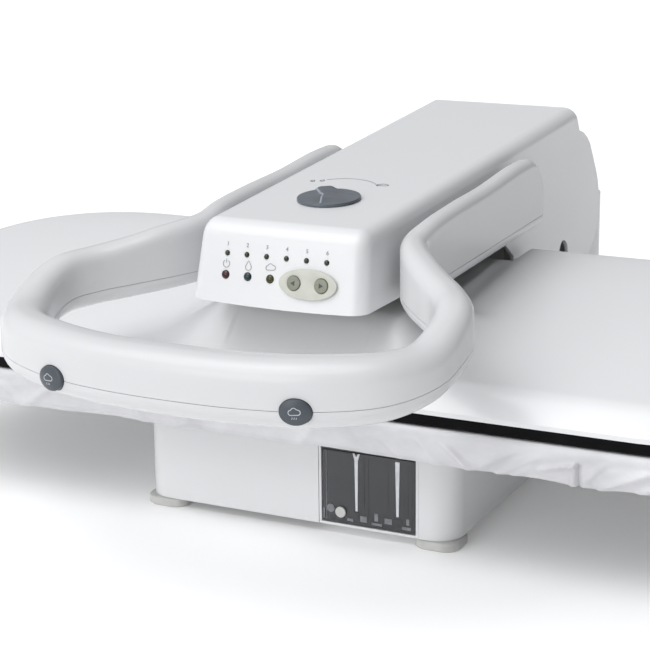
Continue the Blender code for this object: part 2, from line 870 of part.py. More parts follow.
def make_water_pump():
    bm = bmesh.new()
    add_rod(
        bm,
        (PUMP_X, back(PUMP_FRONT), PUMP_Z),
        (PUMP_X, back(PUMP_FRONT + PUMP_LENGTH), PUMP_Z),
        PUMP_RADIUS,
        ROUND,
    )
    pump = part("water_pump", bm, COMPONENT, BASE)
    bm = bmesh.new()
    add_box(
        bm,
        (PUMP_X - PUMP_RADIUS, back(PUMP_FRONT + PUMP_RADIUS / 2), TRAY_HIGH + GAP),
        (PUMP_X + PUMP_RADIUS, back(PUMP_FRONT + PUMP_LENGTH - PUMP_RADIUS / 2), PUMP_Z),
    )
    join(pump, "pump_cradle", bm)
    bm = bmesh.new()
    add_rod(
        bm,
        (PUMP_X, back(PUMP_FRONT + PUMP_LENGTH - SHELL), PUMP_Z),
        (PUMP_X, back(PUMP_FRONT + PUMP_LENGTH + PUMP_RADIUS / 2), PUMP_Z),
        NOZZLE_RADIUS,
        SMALL_ROUND,
    )
    join(pump, "pump_nozzle", bm)


def make_valve_seat():
    """The socket behind the bay that the tank's valve plugs into, with its short pipe to the pump."""
    start = back(BAY_BACK + GAP)
    bm = bmesh.new()
    add_ring(
        bm,
        (PUMP_X, start + SEAT_LENGTH / 2, VALVE_Z),
        (0, 1, 0),
        VALVE_RADIUS + 2 * SHELL,
        VALVE_RADIUS + 2 * GAP,
        SEAT_LENGTH,
        SMALL_ROUND,
    )
    seat = part("tank_valve_seat", bm, SILICONE, BASE)
    bm = bmesh.new()
    add_rod(
        bm,
        (PUMP_X, start + SEAT_LENGTH - SHEET, VALVE_Z),
        (PUMP_X, back(PUMP_FRONT) - GAP, VALVE_Z),
        VALVE_RADIUS + SHELL,
        SMALL_ROUND,
    )
    join(seat, "seat_pipe", bm)


def make_pump_hose():
    start = back(PUMP_FRONT + PUMP_LENGTH + PUMP_RADIUS / 2) + GAP
    column = HINGE.y
    high = HINGE_Z - SHAFT_RADIUS - 2 * LUG_RADIUS / 3
    inside = BRACKET_X - BRACKET_THICK
    points = (
        (PUMP_X, start, PUMP_Z),
        (PUMP_X, between(start, column, 0.35), PUMP_Z),
        (inside, between(start, column, 0.70), PUMP_Z),
        (0.5 * inside, between(start, column, 0.92), 1.3 * PUMP_Z),
        (0.25 * inside, column, 0.5 * (PUMP_Z + high)),
        (0.125 * inside, column, high),
    )
    bm = bmesh.new()
    add_tube(bm, points, HOSE_RADIUS)
    part("pump_hose", bm, SILICONE, BASE)


# Tank bay, water tank

DRAIN_FROM_TANK_SIDE = 0.0132
DRAIN_X = TANK_LEFT + DRAIN_FROM_TANK_SIDE
DRAIN_Z = 0.0160
DRAIN_PROUD = 0.0010
LID_THICK = 0.0016
TANK_FRONT = BASE_FRONT + 0.0006
LID_LOW = TANK_HIGH - LID_THICK - GAP


def make_tank_bay():
    bm = bmesh.new()
    add_box(
        bm,
        (BAY_LEFT, back(BASE_FRONT + GAP), BAY_LOW),
        (BAY_RIGHT, back(BAY_BACK), BAY_HIGH),
    )
    bay = part("tank_bay", bm, INNER_ABS, BASE)
    bm = bmesh.new()
    add_box(
        bm,
        (BAY_LEFT + BAY_WALL, back(BASE_FRONT - OVERRUN), BAY_LOW + BAY_WALL),
        (BAY_RIGHT - BAY_WALL, back(BAY_BACK - BAY_WALL), BAY_HIGH - BAY_WALL),
    )
    cut(bay, "bay_hollow", bm)
    bm = bmesh.new()
    add_rod(
        bm,
        (PUMP_X, back(BAY_BACK - 2 * BAY_WALL), VALVE_Z),
        (PUMP_X, back(BAY_BACK + OVERRUN), VALVE_Z),
        VALVE_RADIUS + 2 * GAP,
        SMALL_ROUND,
    )
    cut(bay, "bay_valve_hole", bm)


TANK = body_empty("water_tank_body", (0, back(TANK_FRONT), TANK_LOW), BASE)


def make_water_tank():
    bm = bmesh.new()
    add_box(
        bm,
        (TANK_LEFT, back(TANK_FRONT), TANK_LOW),
        (TANK_RIGHT, back(TANK_BACK), LID_LOW - GAP),
    )
    tank = part("water_tank", bm, SMOKE_TANK, TANK)
    bm = bmesh.new()
    add_box(
        bm,
        (TANK_LEFT + TANK_WALL, back(TANK_FRONT + TANK_WALL), TANK_LOW + TANK_WALL),
        (TANK_RIGHT - TANK_WALL, back(TANK_BACK - TANK_WALL), TANK_HIGH + OVERRUN),
    )
    cut(tank, "tank_hollow", bm)


def make_tank_lid():
    middle = (TANK_LEFT + TANK_RIGHT) / 2
    depth = (TANK_FRONT + TANK_BACK) / 2
    bm = bmesh.new()
    add_box(
        bm,
        (TANK_LEFT, back(TANK_FRONT), LID_LOW),
        (TANK_RIGHT, back(TANK_BACK), TANK_HIGH - GAP),
    )
    lid = part("tank_lid", bm, SMOKE_TANK, TANK)
    bm = bmesh.new()
    add_rod(
        bm,
        (middle, back(depth), LID_LOW - OVERRUN),
        (middle, back(depth), TANK_HIGH + OVERRUN),
        CAP_RADIUS + GAP,
        ROUND,
    )
    cut(lid, "lid_hole", bm)
    bm = bmesh.new()
    add_rod(
        bm,
        (middle, back(depth), LID_LOW - LID_THICK),
        (middle, back(depth), TANK_HIGH - GAP),
        CAP_RADIUS,
        ROUND,
    )
    part("tank_cap", bm, SLATE_ABS, TANK)


def make_tank_fittings():
    bm = bmesh.new()
    add_rod(
        bm,
        (PUMP_X, back(TANK_BACK) + GAP, VALVE_Z),
        (PUMP_X, back(BAY_BACK + SEAT_LENGTH / 2), VALVE_Z),
        VALVE_RADIUS,
        SMALL_ROUND,
    )
    part("tank_valve", bm, BLACK_NYLON, TANK)
    bm = bmesh.new()
    face = back(TANK_FRONT) - GAP
    add_rod(
        bm,
        (DRAIN_X, face, DRAIN_Z),
        (DRAIN_X, face - DRAIN_PROUD, DRAIN_Z),
        FLOAT_RADIUS,
        SMALL_ROUND,
    )
    part("tank_drain_plug", bm, INNER_ABS, TANK)


# Board

FOAM_LOW = BASE_TOP + GAP + PAN_THICK + GAP
CLOTH_COUNT = 120
CLOTH_ROUND = 0.005
HEM_TUCK = 0.0015
PAN_GROW = CLOTH_PROUD - HEM_WAVE - FOLD_WAVE - HEM_TUCK - CLOTH_THICK - GAP


def make_board_pan():
    low = BASE_TOP + GAP
    bm = bmesh.new()
    add_prism(bm, plate_outline(PAN_GROW, 6), low, low + PAN_RIM, upright)
    pan = part("board_pan", bm, STEEL, BASE)
    bm = bmesh.new()
    inner = plate_outline(PAN_GROW - PAN_THICK, 6)
    add_prism(bm, inner, low + PAN_THICK, low + PAN_RIM + OVERRUN, upright)
    cut(pan, "pan_hollow", bm)


def make_foam_pad():
    bm = bmesh.new()
    outline = plate_outline(PAN_GROW - PAN_THICK - GAP, 6)
    add_prism(bm, outline, FOAM_LOW, CLOTH_TOP - CLOTH_THICK - GAP, upright)
    pad = part("board_foam_pad", bm, FOAM, BASE)
    rounding = pad.modifiers.new("soft shoulder", "BEVEL")
    rounding.width = CLOTH_ROUND
    rounding.segments = 2
    rounding.limit_method = "ANGLE"
    rounding.angle_limit = math.radians(60)


def make_board_cover():
    """Cloth drawn over the pad: a flat top, a round shoulder and a skirt with soft folds."""
    levels = (
        (CLOTH_LOW, -HEM_TUCK, 1.0),
        (between(CLOTH_LOW, CLOTH_TOP, 0.2), 0, 0.7),
        (between(CLOTH_LOW, CLOTH_TOP, 0.55), 0, 0.3),
        (CLOTH_TOP - CLOTH_ROUND * 0.6, -CLOTH_ROUND * 0.1, 0.1),
        (CLOTH_TOP, -CLOTH_ROUND, 0),
    )
    bm = bmesh.new()
    rings = []
    for z, grow, folds in levels:
        outline = spaced(plate_outline(CLOTH_PROUD - HEM_WAVE - FOLD_WAVE), CLOTH_COUNT)
        ring = []
        for k, (x, y) in enumerate(outline):
            turn = math.tau * k / CLOTH_COUNT
            swell = HEM_WAVE * (1 + math.sin(HEM_WAVES * turn)) / 2
            swell += FOLD_WAVE * (1 + math.sin(FOLD_WAVES * turn + 1)) / 2
            out = outward(x, y) * (grow + folds * swell + (1 - folds) * (HEM_WAVE + FOLD_WAVE))
            ring.append(bm.verts.new((x + out.x, y + out.y, z)))
        rings.append(ring)
    for a, b in zip(rings, rings[1:]):
        bridge(bm, a, b, closed=True)
    bm.faces.new(rings[-1])
    cover = part("board_cover", bm, CLOTH, BASE)
    thicken(cover, CLOTH_THICK)


def outward(x, y):
    """The plan direction away from the platen's middle line, square to its outline."""
    straight = PLATE_HALF - PLATE_CORNER
    middle = back(PLATE_DEPTH / 2)
    flat = PLATE_DEPTH / 2 - PLATE_CORNER
    near = Vector((min(max(x, -straight), straight), min(max(y, middle - flat), middle + flat)))
    return (Vector((x, y)) - near).normalized()


# Platen

COVER_LOW = SKIRT_TOP + GAP
COVER_ENDS = (0.20, 0.40, 0.58, 0.73, 0.85, 0.93, 0.975, 0.994)
COVER_FRONT_SHARES = (0, 0.006, 0.018, 0.042, 0.074, 0.11, 0.135, 0.16, 0.20)
COVER_MIDDLE_SHARES = (0.28, 0.36, 0.39, 0.42, 0.45, 0.475, 0.58)
COVER_REAR_SHARES = (0.74, 0.82, 0.8425, 0.865, 0.952, 0.982, 0.994, 1)
NECK_HALF = 0.016
NECK_FOOT_HALF = 0.032
NECK_DEPTH = 0.150
NECK_FOOT_TOP = 0.108
SOLE_TOP = SOLE_LOW + SOLE_THICK
ELEMENT_RADIUS = 0.004
ELEMENT_INSET = 0.048
ELEMENT_GAP_HALF = 0.045
GENERATOR_NEAR = 0.060
GENERATOR_FAR = 0.128
GENERATOR_TOP = 0.106
THERMOSTAT_X = -0.060
THERMOSTAT_RADIUS = 0.011
THERMOSTAT_HEIGHT = 0.009


def edge_distance(x, depth):
    """How far a point of the platen lies inside its plan outline."""
    across = abs(x) - (PLATE_HALF - PLATE_CORNER)
    along = abs(depth - PLATE_DEPTH / 2) - (PLATE_DEPTH / 2 - PLATE_CORNER)
    outside = math.hypot(max(across, 0), max(along, 0))
    return PLATE_CORNER - outside - min(max(across, along), 0)


def nose_share(x, depth):
    """How much of the raised nose under the head's front stands at a place: 0 to 1."""
    end = NECK_DEPTH - NECK_HALF - NECK_HOLE_CLEARANCE - NOSE_BEFORE_HOLE
    rise = soft_step(depth, NOSE_FOOT, NOSE_FRONT)
    fall = soft_step(depth, end - NOSE_FALL, end)
    beside = soft_step(abs(x), NOSE_HALF, NOSE_HALF + NOSE_BLEND)
    return rise * (1 - fall) * (1 - beside)


def beside_valley(x, half):
    """0 on the floor of the sunken middle and 1 beside it."""
    return soft_step(abs(x), half - VALLEY_BLEND, half + VALLEY_BLEND)


def cover_height(x, depth):
    """Top of the platen cover: a slope up to a crest, a nose, then a rise beside a sunken middle."""
    share = min(max(edge_distance(x, depth) / CREST_IN, 0), 1)
    steepness = between(FRONT_STEEPNESS, REAR_STEEPNESS, soft_step(depth, CREST_IN, 3 * CREST_IN))
    climb = 1 - (1 - share) ** steepness
    widening = soft_step(depth, VALLEY_WIDENS_FROM, VALLEY_WIDENS_TO)
    beside = between(beside_valley(x, VALLEY_HALF), beside_valley(x, VALLEY_REAR_HALF), widening)
    run = min(max((depth - CREST_IN) / (PLATE_DEPTH - 2 * CREST_IN), 0), 1)
    top = CREST_Z + (COVER_REAR_Z - CREST_Z) * (1 - (1 - run) ** 1.5) * beside
    top -= COVER_DROOP * soft_step(abs(x), PLATE_HALF - PLATE_CORNER, PLATE_HALF)
    top = between(top, HEAD_LOW - NOSE_UNDER_HEAD, nose_share(x, depth))
    lip = COVER_LOW + COVER_LIP
    return lip + (top - lip) * climb


def cover_columns():
    straight = PLATE_HALF - PLATE_CORNER
    half = [0, VALLEY_HALF / 2]
    for wall in (VALLEY_HALF, VALLEY_REAR_HALF):
        half += [wall + VALLEY_BLEND * share for share in (-1.1, -0.4, 0.4, 1.1)]
    half += [(VALLEY_REAR_HALF + VALLEY_BLEND + straight) / 2, straight]
    half += [NOSE_HALF + NOSE_BLEND * share for share in (0, 0.62, 1)]
    half += [straight + PLATE_CORNER * share for share in COVER_ENDS + (1,)]
    half = sorted(half)
    return [-x for x in reversed(half[1:])] + half


def make_platen_cover():
    bm = bmesh.new()
    columns = []
    for x in cover_columns():
        over = max(abs(x) - (PLATE_HALF - PLATE_CORNER), 0)
        cutback = PLATE_CORNER - math.sqrt(max(PLATE_CORNER**2 - over**2, 0))
        column = []
        for share in COVER_FRONT_SHARES + COVER_MIDDLE_SHARES + COVER_REAR_SHARES:
            depth = between(cutback, PLATE_DEPTH - cutback, share)
            column.append(bm.verts.new((x, back(depth), cover_height(x, depth))))
        columns.append(column)
    for a, b in zip(columns, columns[1:]):
        bridge(bm, a, b)
    rim = [edge for edge in bm.edges if edge.is_boundary]
    made = bmesh.ops.extrude_edge_only(bm, edges=rim)["geom"]
    lowered = [item for item in made if isinstance(item, bmesh.types.BMVert)]
    for vert in lowered:
        vert.co.z = COVER_LOW
    bmesh.ops.recalc_face_normals(bm, faces=bm.faces)
    crown = max(bm.faces, key=lambda face: abs(face.normal.z) * face.calc_area())
    if crown.normal.z < 0:
        bmesh.ops.reverse_faces(bm, faces=bm.faces)
    cover = part("platen_cover", bm, WHITE_ABS, HEAD)
    thicken(cover, SHELL)
    bm = bmesh.new()
    reach = NECK_HALF + NECK_HOLE_CLEARANCE
    add_box(
        bm,
        (-reach, back(NECK_DEPTH) - reach, CREST_Z - 2 * SHELL - OVERRUN),
        (reach, back(NECK_DEPTH) + reach, CREST_Z + OVERRUN),
    )
    cut(cover, "cover_neck_hole", bm)


def make_platen_skirt():
    bm = bmesh.new()
    add_frame(bm, plate_outline(0, 6), plate_outline(-SKIRT_WIDTH, 6), SKIRT_LOW, SKIRT_TOP)
    part("platen_skirt", bm, BLACK_NYLON, HEAD)


def make_soleplate():
    bm = bmesh.new()
    outline = plate_outline(-SKIRT_WIDTH - SOLE_CLEARANCE, 6)
    add_prism(bm, outline, SOLE_LOW, SOLE_TOP, upright)
    part("soleplate", bm, ALUMINIUM, HEAD)


def make_heating_element():
    """A sheathed bar round the soleplate, open at the back where its terminals are."""
    z = SOLE_TOP + GAP + ELEMENT_RADIUS
    loop = spaced(plate_outline(-ELEMENT_INSET), 48)
    rear = back(PLATE_DEPTH - ELEMENT_INSET) - WELD
    kept = [(x, y) for x, y in loop if not (y > rear and abs(x) < ELEMENT_GAP_HALF)]
    first = max(range(len(kept)), key=lambda k: math.dist(kept[k - 1], kept[k]))
    kept = kept[first:] + kept[:first]
    bm = bmesh.new()
    add_tube(bm, [(x, y, z) for x, y in kept], ELEMENT_RADIUS)
    part("heating_element", bm, STEEL, HEAD)


def make_platen_fittings():
    low = SOLE_TOP + GAP
    bm = bmesh.new()
    add_box(
        bm,
        (GENERATOR_NEAR, back(NECK_DEPTH - NECK_FOOT_HALF), low),
        (GENERATOR_FAR, back(NECK_DEPTH + NECK_FOOT_HALF), GENERATOR_TOP),
    )
    generator = part("steam_generator", bm, ALUMINIUM, HEAD)
    round_edges(generator, SHELL)
    bm = bmesh.new()
    spot = (THERMOSTAT_X, back(NECK_DEPTH))
    add_rod(bm, (*spot, low), (*spot, low + THERMOSTAT_HEIGHT), THERMOSTAT_RADIUS, SMALL_ROUND)
    part("thermostat", bm, STEEL, HEAD)
    bm = bmesh.new()
    middle = back(NECK_DEPTH)
    foot = NECK_FOOT_HALF
    add_box(bm, (-foot, middle - foot, low), (foot, middle + foot, NECK_FOOT_TOP))
    neck = part("platen_neck", bm, ALUMINIUM, HEAD)
    bm = bmesh.new()
    add_box(
        bm,
        (-NECK_HALF, middle - NECK_HALF, NECK_FOOT_TOP - SHELL),
        (NECK_HALF, middle + NECK_HALF, FRAME_LOW - GAP),
    )
    join(neck, "neck_post", bm)


# Head cover

SLOPE = math.atan2(HEAD_TOP_REAR_Z - HEAD_TOP_FRONT_Z, HEAD_TOP_REAR - HEAD_TOP_FRONT)
FACE_FOOT = Vector((0, back(HEAD_FACE_FOOT), HEAD_LOW))
FACE_UP = Vector((0, math.sin(HEAD_LEAN), math.cos(HEAD_LEAN)))
FACE_OUT = Vector((0, -math.cos(HEAD_LEAN), math.sin(HEAD_LEAN)))
TOP_OUT = Vector((0, -math.sin(SLOPE), math.cos(SLOPE)))
# The curve behind the step at the end of the head's top: depths and heights
CREST_POINTS = (
    (0.391, 0.206),
    (0.400, 0.203),
    (0.408, 0.198),
    (0.414, 0.192),
    (0.418, 0.184),
)
DRUM_START = 24
DRUM_STRIP_END = -9
DRUM_STEPS = 13
LEG_OVER_PLATE_Z = 0.121
LEG_STEP = 0.276
ARCH_DEPTH = 0.346
ARCH_RADIUS = 0.009
ARCH_TOP = 0.129
HANDLE_SLOT_RADIUS = 0.0065


def on_face(x, up, out):
    return FACE_FOOT + Vector((x, 0, 0)) + up * FACE_UP + out * FACE_OUT


def head_top_z(depth):
    return HEAD_TOP_FRONT_Z + (depth - HEAD_TOP_FRONT) * math.tan(SLOPE)


def on_top(x, depth, out):
    return Vector((x, back(depth), head_top_z(depth))) + out * TOP_OUT


def face_top_corner():
    """Where the front panel's plane meets the top's plane, in side view."""
    lean, slope = math.tan(HEAD_LEAN), math.tan(SLOPE)
    rise = (head_top_z(HEAD_FACE_FOOT) - HEAD_LOW) / (1 - lean * slope)
    return back(HEAD_FACE_FOOT) + rise * lean, HEAD_LOW + rise


def head_half(y, z):
    """Half the head's width: wider to the back, narrower to the top."""
    share = (y - back(0)) / (HINGE.y - back(0))
    lean = HEAD_SIDE_LEAN * (z - HEAD_LOW) / (HEAD_TOP_REAR_Z - HEAD_LOW)
    return between(HEAD_HALF_FRONT, HEAD_HALF_REAR, share) - lean


def head_crown():
    """Side view of the head's front, top and drum, from the face's foot to the drum's lower rear."""
    front = filleted(
        [
            (back(HEAD_FACE_FOOT), HEAD_LOW, 0, 0),
            (*face_top_corner(), HEAD_ROUND * 1.5, 4),
            (back(HEAD_TOP_REAR), HEAD_TOP_REAR_Z, 0, 0),
        ]
    )
    crest = [(back(depth), z) for depth, z in CREST_POINTS]
    return front + crest + arc((HINGE.y, HINGE_Z), DRUM_RADIUS, DRUM_START, DRUM_STRIP_END, 4)


def head_prism(bm, outline, inset, rounding, last_round_y):
    """A solid of the side view whose width follows head_half, with its upper edges rounded."""
    add_prism(bm, outline, -1, 1, sideways)
    for vert in bm.verts:
        side = 1 if vert.co.x > 0 else -1
        vert.co.x = side * (head_half(vert.co.y, vert.co.z) - inset)
    edges = []
    for edge in bm.edges:
        a, b = (v.co for v in edge.verts)
        upper = max(a.z, b.z) > HEAD_LOW + SHELL and min(a.z, b.z) >= HEAD_LOW - 2 * OVERRUN
        before_drum = max(a.y, b.y) < last_round_y
        if a.x * b.x > 0 and upper and before_drum:
            edges.append(edge)
    bmesh.ops.bevel(bm, geom=edges, offset=rounding, segments=3, profile=0.5, affect="EDGES")


def make_head_cover():
    axis = (HINGE.y, HINGE_Z)
    leg = math.degrees(math.asin((HEAD_LEG_LOW - HINGE_Z) / DRUM_RADIUS))
    outline = head_crown()
    outline += arc(axis, DRUM_RADIUS, DRUM_STRIP_END, -180 - leg, DRUM_STEPS)[1:]
    outline += [
        (back(LEG_STEP + SHELL), HEAD_LEG_LOW),
        (back(LEG_STEP), LEG_OVER_PLATE_Z),
        (back(HEAD_LEG_FRONT), LEG_OVER_PLATE_Z),
        (back(HEAD_LEG_FRONT), LEG_SLANT_Z),
        (back(LEG_SLANT_FRONT), HEAD_LOW),
    ]
    bm = bmesh.new()
    head_prism(bm, outline, 0, HEAD_ROUND, back(HEAD_TOP_REAR) + GAP)
    cover = part("head_cover", bm, WHITE_ABS, HEAD)
    inner = mitred(head_crown(), -SHELL, closed=False)
    foot = Vector(inner[0])
    inner[0] = tuple(foot - OVERRUN * Vector(FACE_UP.yz))
    inner += arc(axis, DRUM_RADIUS + OVERRUN, DRUM_STRIP_END, -180 - leg, 6)
    inner += [
        (back(LEG_STEP - OVERRUN), HEAD_LEG_LOW - OVERRUN),
        (back(LEG_STEP - OVERRUN), LEG_OVER_PLATE_Z - OVERRUN),
        (back(LEG_SLANT_FRONT - OVERRUN), LEG_OVER_PLATE_Z - OVERRUN),
        (back(LEG_SLANT_FRONT - OVERRUN), HEAD_LOW - OVERRUN),
        (back(HEAD_FACE_FOOT + 2 * OVERRUN), HEAD_LOW - OVERRUN),
    ]
    bm = bmesh.new()
    head_prism(bm, inner, SHELL, HEAD_ROUND - SHELL, back(HEAD_TOP_REAR) + GAP)
    cut(cover, "head_hollow", bm)
    bm = bmesh.new()
    add_head_openings(bm)
    cut(cover, "head_openings", bm)
    bm = bmesh.new()
    for x, up in circuit_corners():
        add_rod(bm, on_face(x, up, -SHELL / 2), on_face(x, up, -BOARD_BACK + GAP), POST_RADIUS, 8)
    join(cover, "circuit_bosses", bm)


def circuit_corners():
    ups = (CIRCUIT_LOW + POST_RADIUS, CIRCUIT_HIGH - POST_RADIUS)
    return [(side * BOSS_SHARE * HEAD_HALF_FRONT, up) for side in (-1, 1) for up in ups]


BOSS_SHARE = 0.78
CIRCUIT_LOW = 0.009
CIRCUIT_HIGH = 0.040


def add_head_openings(bm):
    """Cutters for lamps, keys, dial stem, handle shaft and the arches low on the sides."""
    for x in lamp_places():
        add_rod(bm, on_face(x, LAMP_ROW, OVERRUN), on_face(x, LAMP_ROW, -OVERRUN), LAMP_RADIUS + GAP, 8)
    for x in state_places():
        add_rod(bm, on_face(x, STATE_ROW, OVERRUN), on_face(x, STATE_ROW, -OVERRUN), STATE_RADIUS + GAP, 8)
    for side in (-1, 1):
        x = PAD_X + side * SET_HALF_SPACING
        ends = (on_face(x, PAD_ROW, OVERRUN), on_face(x, PAD_ROW, -OVERRUN))
        add_rod(bm, *ends, SET_RADIUS + GAP, SMALL_ROUND)
        reach = (head_half(*HANDLE_AXIS.yz) + OVERRUN, head_half(*HANDLE_AXIS.yz) - 2 * OVERRUN)
        add_rod(
            bm,
            (side * reach[0], *HANDLE_AXIS.yz),
            (side * reach[1], *HANDLE_AXIS.yz),
            HANDLE_SLOT_RADIUS,
            SMALL_ROUND,
        )
        arch = [(back(ARCH_DEPTH - ARCH_RADIUS), HEAD_LEG_LOW - OVERRUN)]
        arch += [(back(ARCH_DEPTH + ARCH_RADIUS), HEAD_LEG_LOW - OVERRUN)]
        arch += arc((back(ARCH_DEPTH), ARCH_TOP - ARCH_RADIUS), ARCH_RADIUS, 0, 180, 6)
        levels = sorted((side * (HEAD_HALF_REAR + OVERRUN), side * (HEAD_HALF_REAR - 3 * OVERRUN)))
        add_prism(bm, arch, *levels, sideways)
    add_rod(
        bm,
        on_top(0, DIAL_DEPTH, OVERRUN),
        on_top(0, DIAL_DEPTH, -2 * OVERRUN),
        DIAL_STEM_RADIUS + 2 * GAP,
        SMALL_ROUND,
    )


def lamp_places():
    return [LAMP_MIDDLE + (k - (LAMP_COUNT - 1) / 2) * LAMP_SPACING for k in range(LAMP_COUNT)]


def state_places():
    return [STATE_SPACING * k - STATE_LEFT for k in range(3)]


def make_head_floor():
    """The plate that closes the head from below, with a hole for the neck."""
    low = HEAD_LOW + SHELL
    skin = SHELL / math.cos(HEAD_LEAN) + (SHELL + HEAD_FLOOR) * math.tan(HEAD_LEAN)
    front = back(HEAD_FACE_FOOT) + skin + GAP
    rear = back(FLOOR_REAR)
    bm = bmesh.new()
    outline = []
    for side, ys in ((1, (front, front + HEAD_ROUND, rear)), (-1, (rear, front + HEAD_ROUND, front))):
        for y in ys:
            inset = HEAD_ROUND if y == front else 0
            outline.append((side * (head_half(y, low + HEAD_FLOOR) - SHELL - 2 * GAP - inset), y))
    add_prism(bm, outline, low, low + HEAD_FLOOR, upright)
    floor = part("head_bottom_cover", bm, INNER_ABS, HEAD)
    bm = bmesh.new()
    reach = NECK_HALF + NECK_HOLE_CLEARANCE
    add_box(
        bm,
        (-reach, back(NECK_DEPTH) - reach, low - OVERRUN),
        (reach, back(NECK_DEPTH) + reach, low + HEAD_FLOOR + OVERRUN),
    )
    cut(floor, "floor_neck_hole", bm)


# Lamps, keys and dial

def make_lamps():
    bm = bmesh.new()
    for x in lamp_places():
        add_rod(
            bm,
            on_face(x, LAMP_ROW, LAMP_PROUD),
            on_face(x, LAMP_ROW, -BOARD_BACK + GAP),
            LAMP_RADIUS,
            10,
        )
    lenses = part("temperature_lenses", bm, LAMP, HEAD)
    bm = bmesh.new()
    first, last = lamp_places()[0] - LAMP_RADIUS, lamp_places()[-1] + LAMP_RADIUS
    verts = add_box(
        bm,
        (first, LAMP_ROW - LAMP_RADIUS * 1.2, -2 * SHELL - SHEET),
        (last, LAMP_ROW + LAMP_RADIUS * 1.2, -2 * SHELL),
    )
    for vert in verts:
        vert.co = on_face(*vert.co)
    join(lenses, "lens_strip", bm)
    names = (("power_lamp", RED_LAMP), ("water_lamp", TEAL_LAMP), ("steam_lamp", OLIVE_LAMP))
    for x, (name, material) in zip(state_places(), names):
        bm = bmesh.new()
        add_rod(
            bm,
            on_face(x, STATE_ROW, LAMP_PROUD),
            on_face(x, STATE_ROW, -BOARD_BACK + GAP),
            STATE_RADIUS,
            SMALL_ROUND,
        )
        part(name, bm, material, HEAD)


def make_control_board():
    bm = bmesh.new()
    verts = add_box(
        bm,
        (-0.84 * HEAD_HALF_FRONT, CIRCUIT_LOW, -BOARD_BACK - CIRCUIT_THICK),
        (0.84 * HEAD_HALF_FRONT, CIRCUIT_HIGH, -BOARD_BACK),
    )
    for vert in verts:
        vert.co = on_face(*vert.co)
    part("control_board", bm, CIRCUIT, HEAD)


def ellipse(half_x, half_y, steps):
    return [
        (half_x * math.cos(math.tau * k / steps), half_y * math.sin(math.tau * k / steps))
        for k in range(steps)
    ]


def make_set_pad():
    bm = bmesh.new()
    outline = [(PAD_X + u, PAD_ROW + v) for u, v in ellipse(PAD_HALF_X, PAD_HALF_Z, ROUND)]
    add_prism(bm, outline, GAP, GAP + PAD_THICK, on_face)
    pad = part("set_pad", bm, PAD_GREY, HEAD)
    bm = bmesh.new()
    for side in (-1, 1):
        x = PAD_X + side * SET_HALF_SPACING
        ends = (on_face(x, PAD_ROW, -OVERRUN), on_face(x, PAD_ROW, OVERRUN))
        add_rod(bm, *ends, SET_RADIUS + GAP, SMALL_ROUND)
    cut(pad, "pad_holes", bm)


def make_set_keys():
    for name, side in (("left", -1), ("right", 1)):
        x = PAD_X + side * SET_HALF_SPACING
        top = on_face(x, PAD_ROW, PAD_THICK + SET_PROUD)
        body = body_empty("set_button_%s_body" % name, top, HEAD)
        bm = bmesh.new()
        foot = on_face(x, PAD_ROW, -BOARD_BACK + SET_TRAVEL + GAP)
        add_rod(bm, top, foot, SET_RADIUS, SMALL_ROUND)
        part("set_button_" + name, bm, KEY_GREY, body)


def make_dial():
    body = body_empty("steam_dial_body", on_top(0, DIAL_DEPTH, 0), HEAD)
    bm = bmesh.new()
    add_rod(
        bm,
        on_top(0, DIAL_DEPTH, GAP),
        on_top(0, DIAL_DEPTH, GAP + DIAL_SKIRT),
        DIAL_RADIUS,
        ROUND,
        DIAL_RADIUS - DIAL_SKIRT / 3,
    )
    dial = part("steam_dial", bm, SLATE_ABS, body)
    bm = bmesh.new()
    bar = rounded_rectangle(
        -DIAL_GRIP_HALF,
        DIAL_GRIP_HALF,
        -DIAL_RADIUS + DIAL_SKIRT,
        DIAL_RADIUS - DIAL_SKIRT,
        DIAL_GRIP_HALF * 0.9,
        3,
    )
    along = Vector((0, math.cos(SLOPE), math.sin(SLOPE)))

    def on_dial(u, v, level):
        return on_top(u, DIAL_DEPTH, level) + v * along

    add_prism(bm, bar, DIAL_SKIRT / 2, DIAL_HEIGHT, on_dial)
    join(dial, "dial_grip", bm)
    bm = bmesh.new()
    add_rod(
        bm,
        on_top(0, DIAL_DEPTH, DIAL_SKIRT / 2),
        on_top(0, DIAL_DEPTH, -SHELL - POT_HEIGHT / 2),
        DIAL_STEM_RADIUS,
        SMALL_ROUND,
    )
    join(dial, "dial_stem", bm)
    bm = bmesh.new()
    add_ring(
        bm,
        on_top(0, DIAL_DEPTH, -SHELL - 2 * GAP - POT_HEIGHT / 2),
        TOP_OUT,
        POT_RADIUS,
        DIAL_STEM_RADIUS + 2 * GAP,
        POT_HEIGHT,
        SMALL_ROUND,
    )
    part("dial_potentiometer", bm, COMPONENT, HEAD)


# Steel frame in the head

BUSH_OUTER = SHAFT_RADIUS + BUSH_WALL
BUSH_CLEARANCE = 0.00015
FRAME_NOSE = 0.172


def frame_outline():
    lug = arc((HINGE.y, HINGE_Z), LUG_RADIUS, -110, 70, 10)
    return (
        [(back(FRAME_FRONT), FRAME_LOW), (back(FRAME_REAR), FRAME_LOW)]
        + lug
        + [(back(FRAME_REAR), FRAME_HIGH), (back(FRAME_FRONT + LUG_RADIUS * 4), FRAME_HIGH)]
        + [(back(FRAME_FRONT), FRAME_NOSE)]
    )


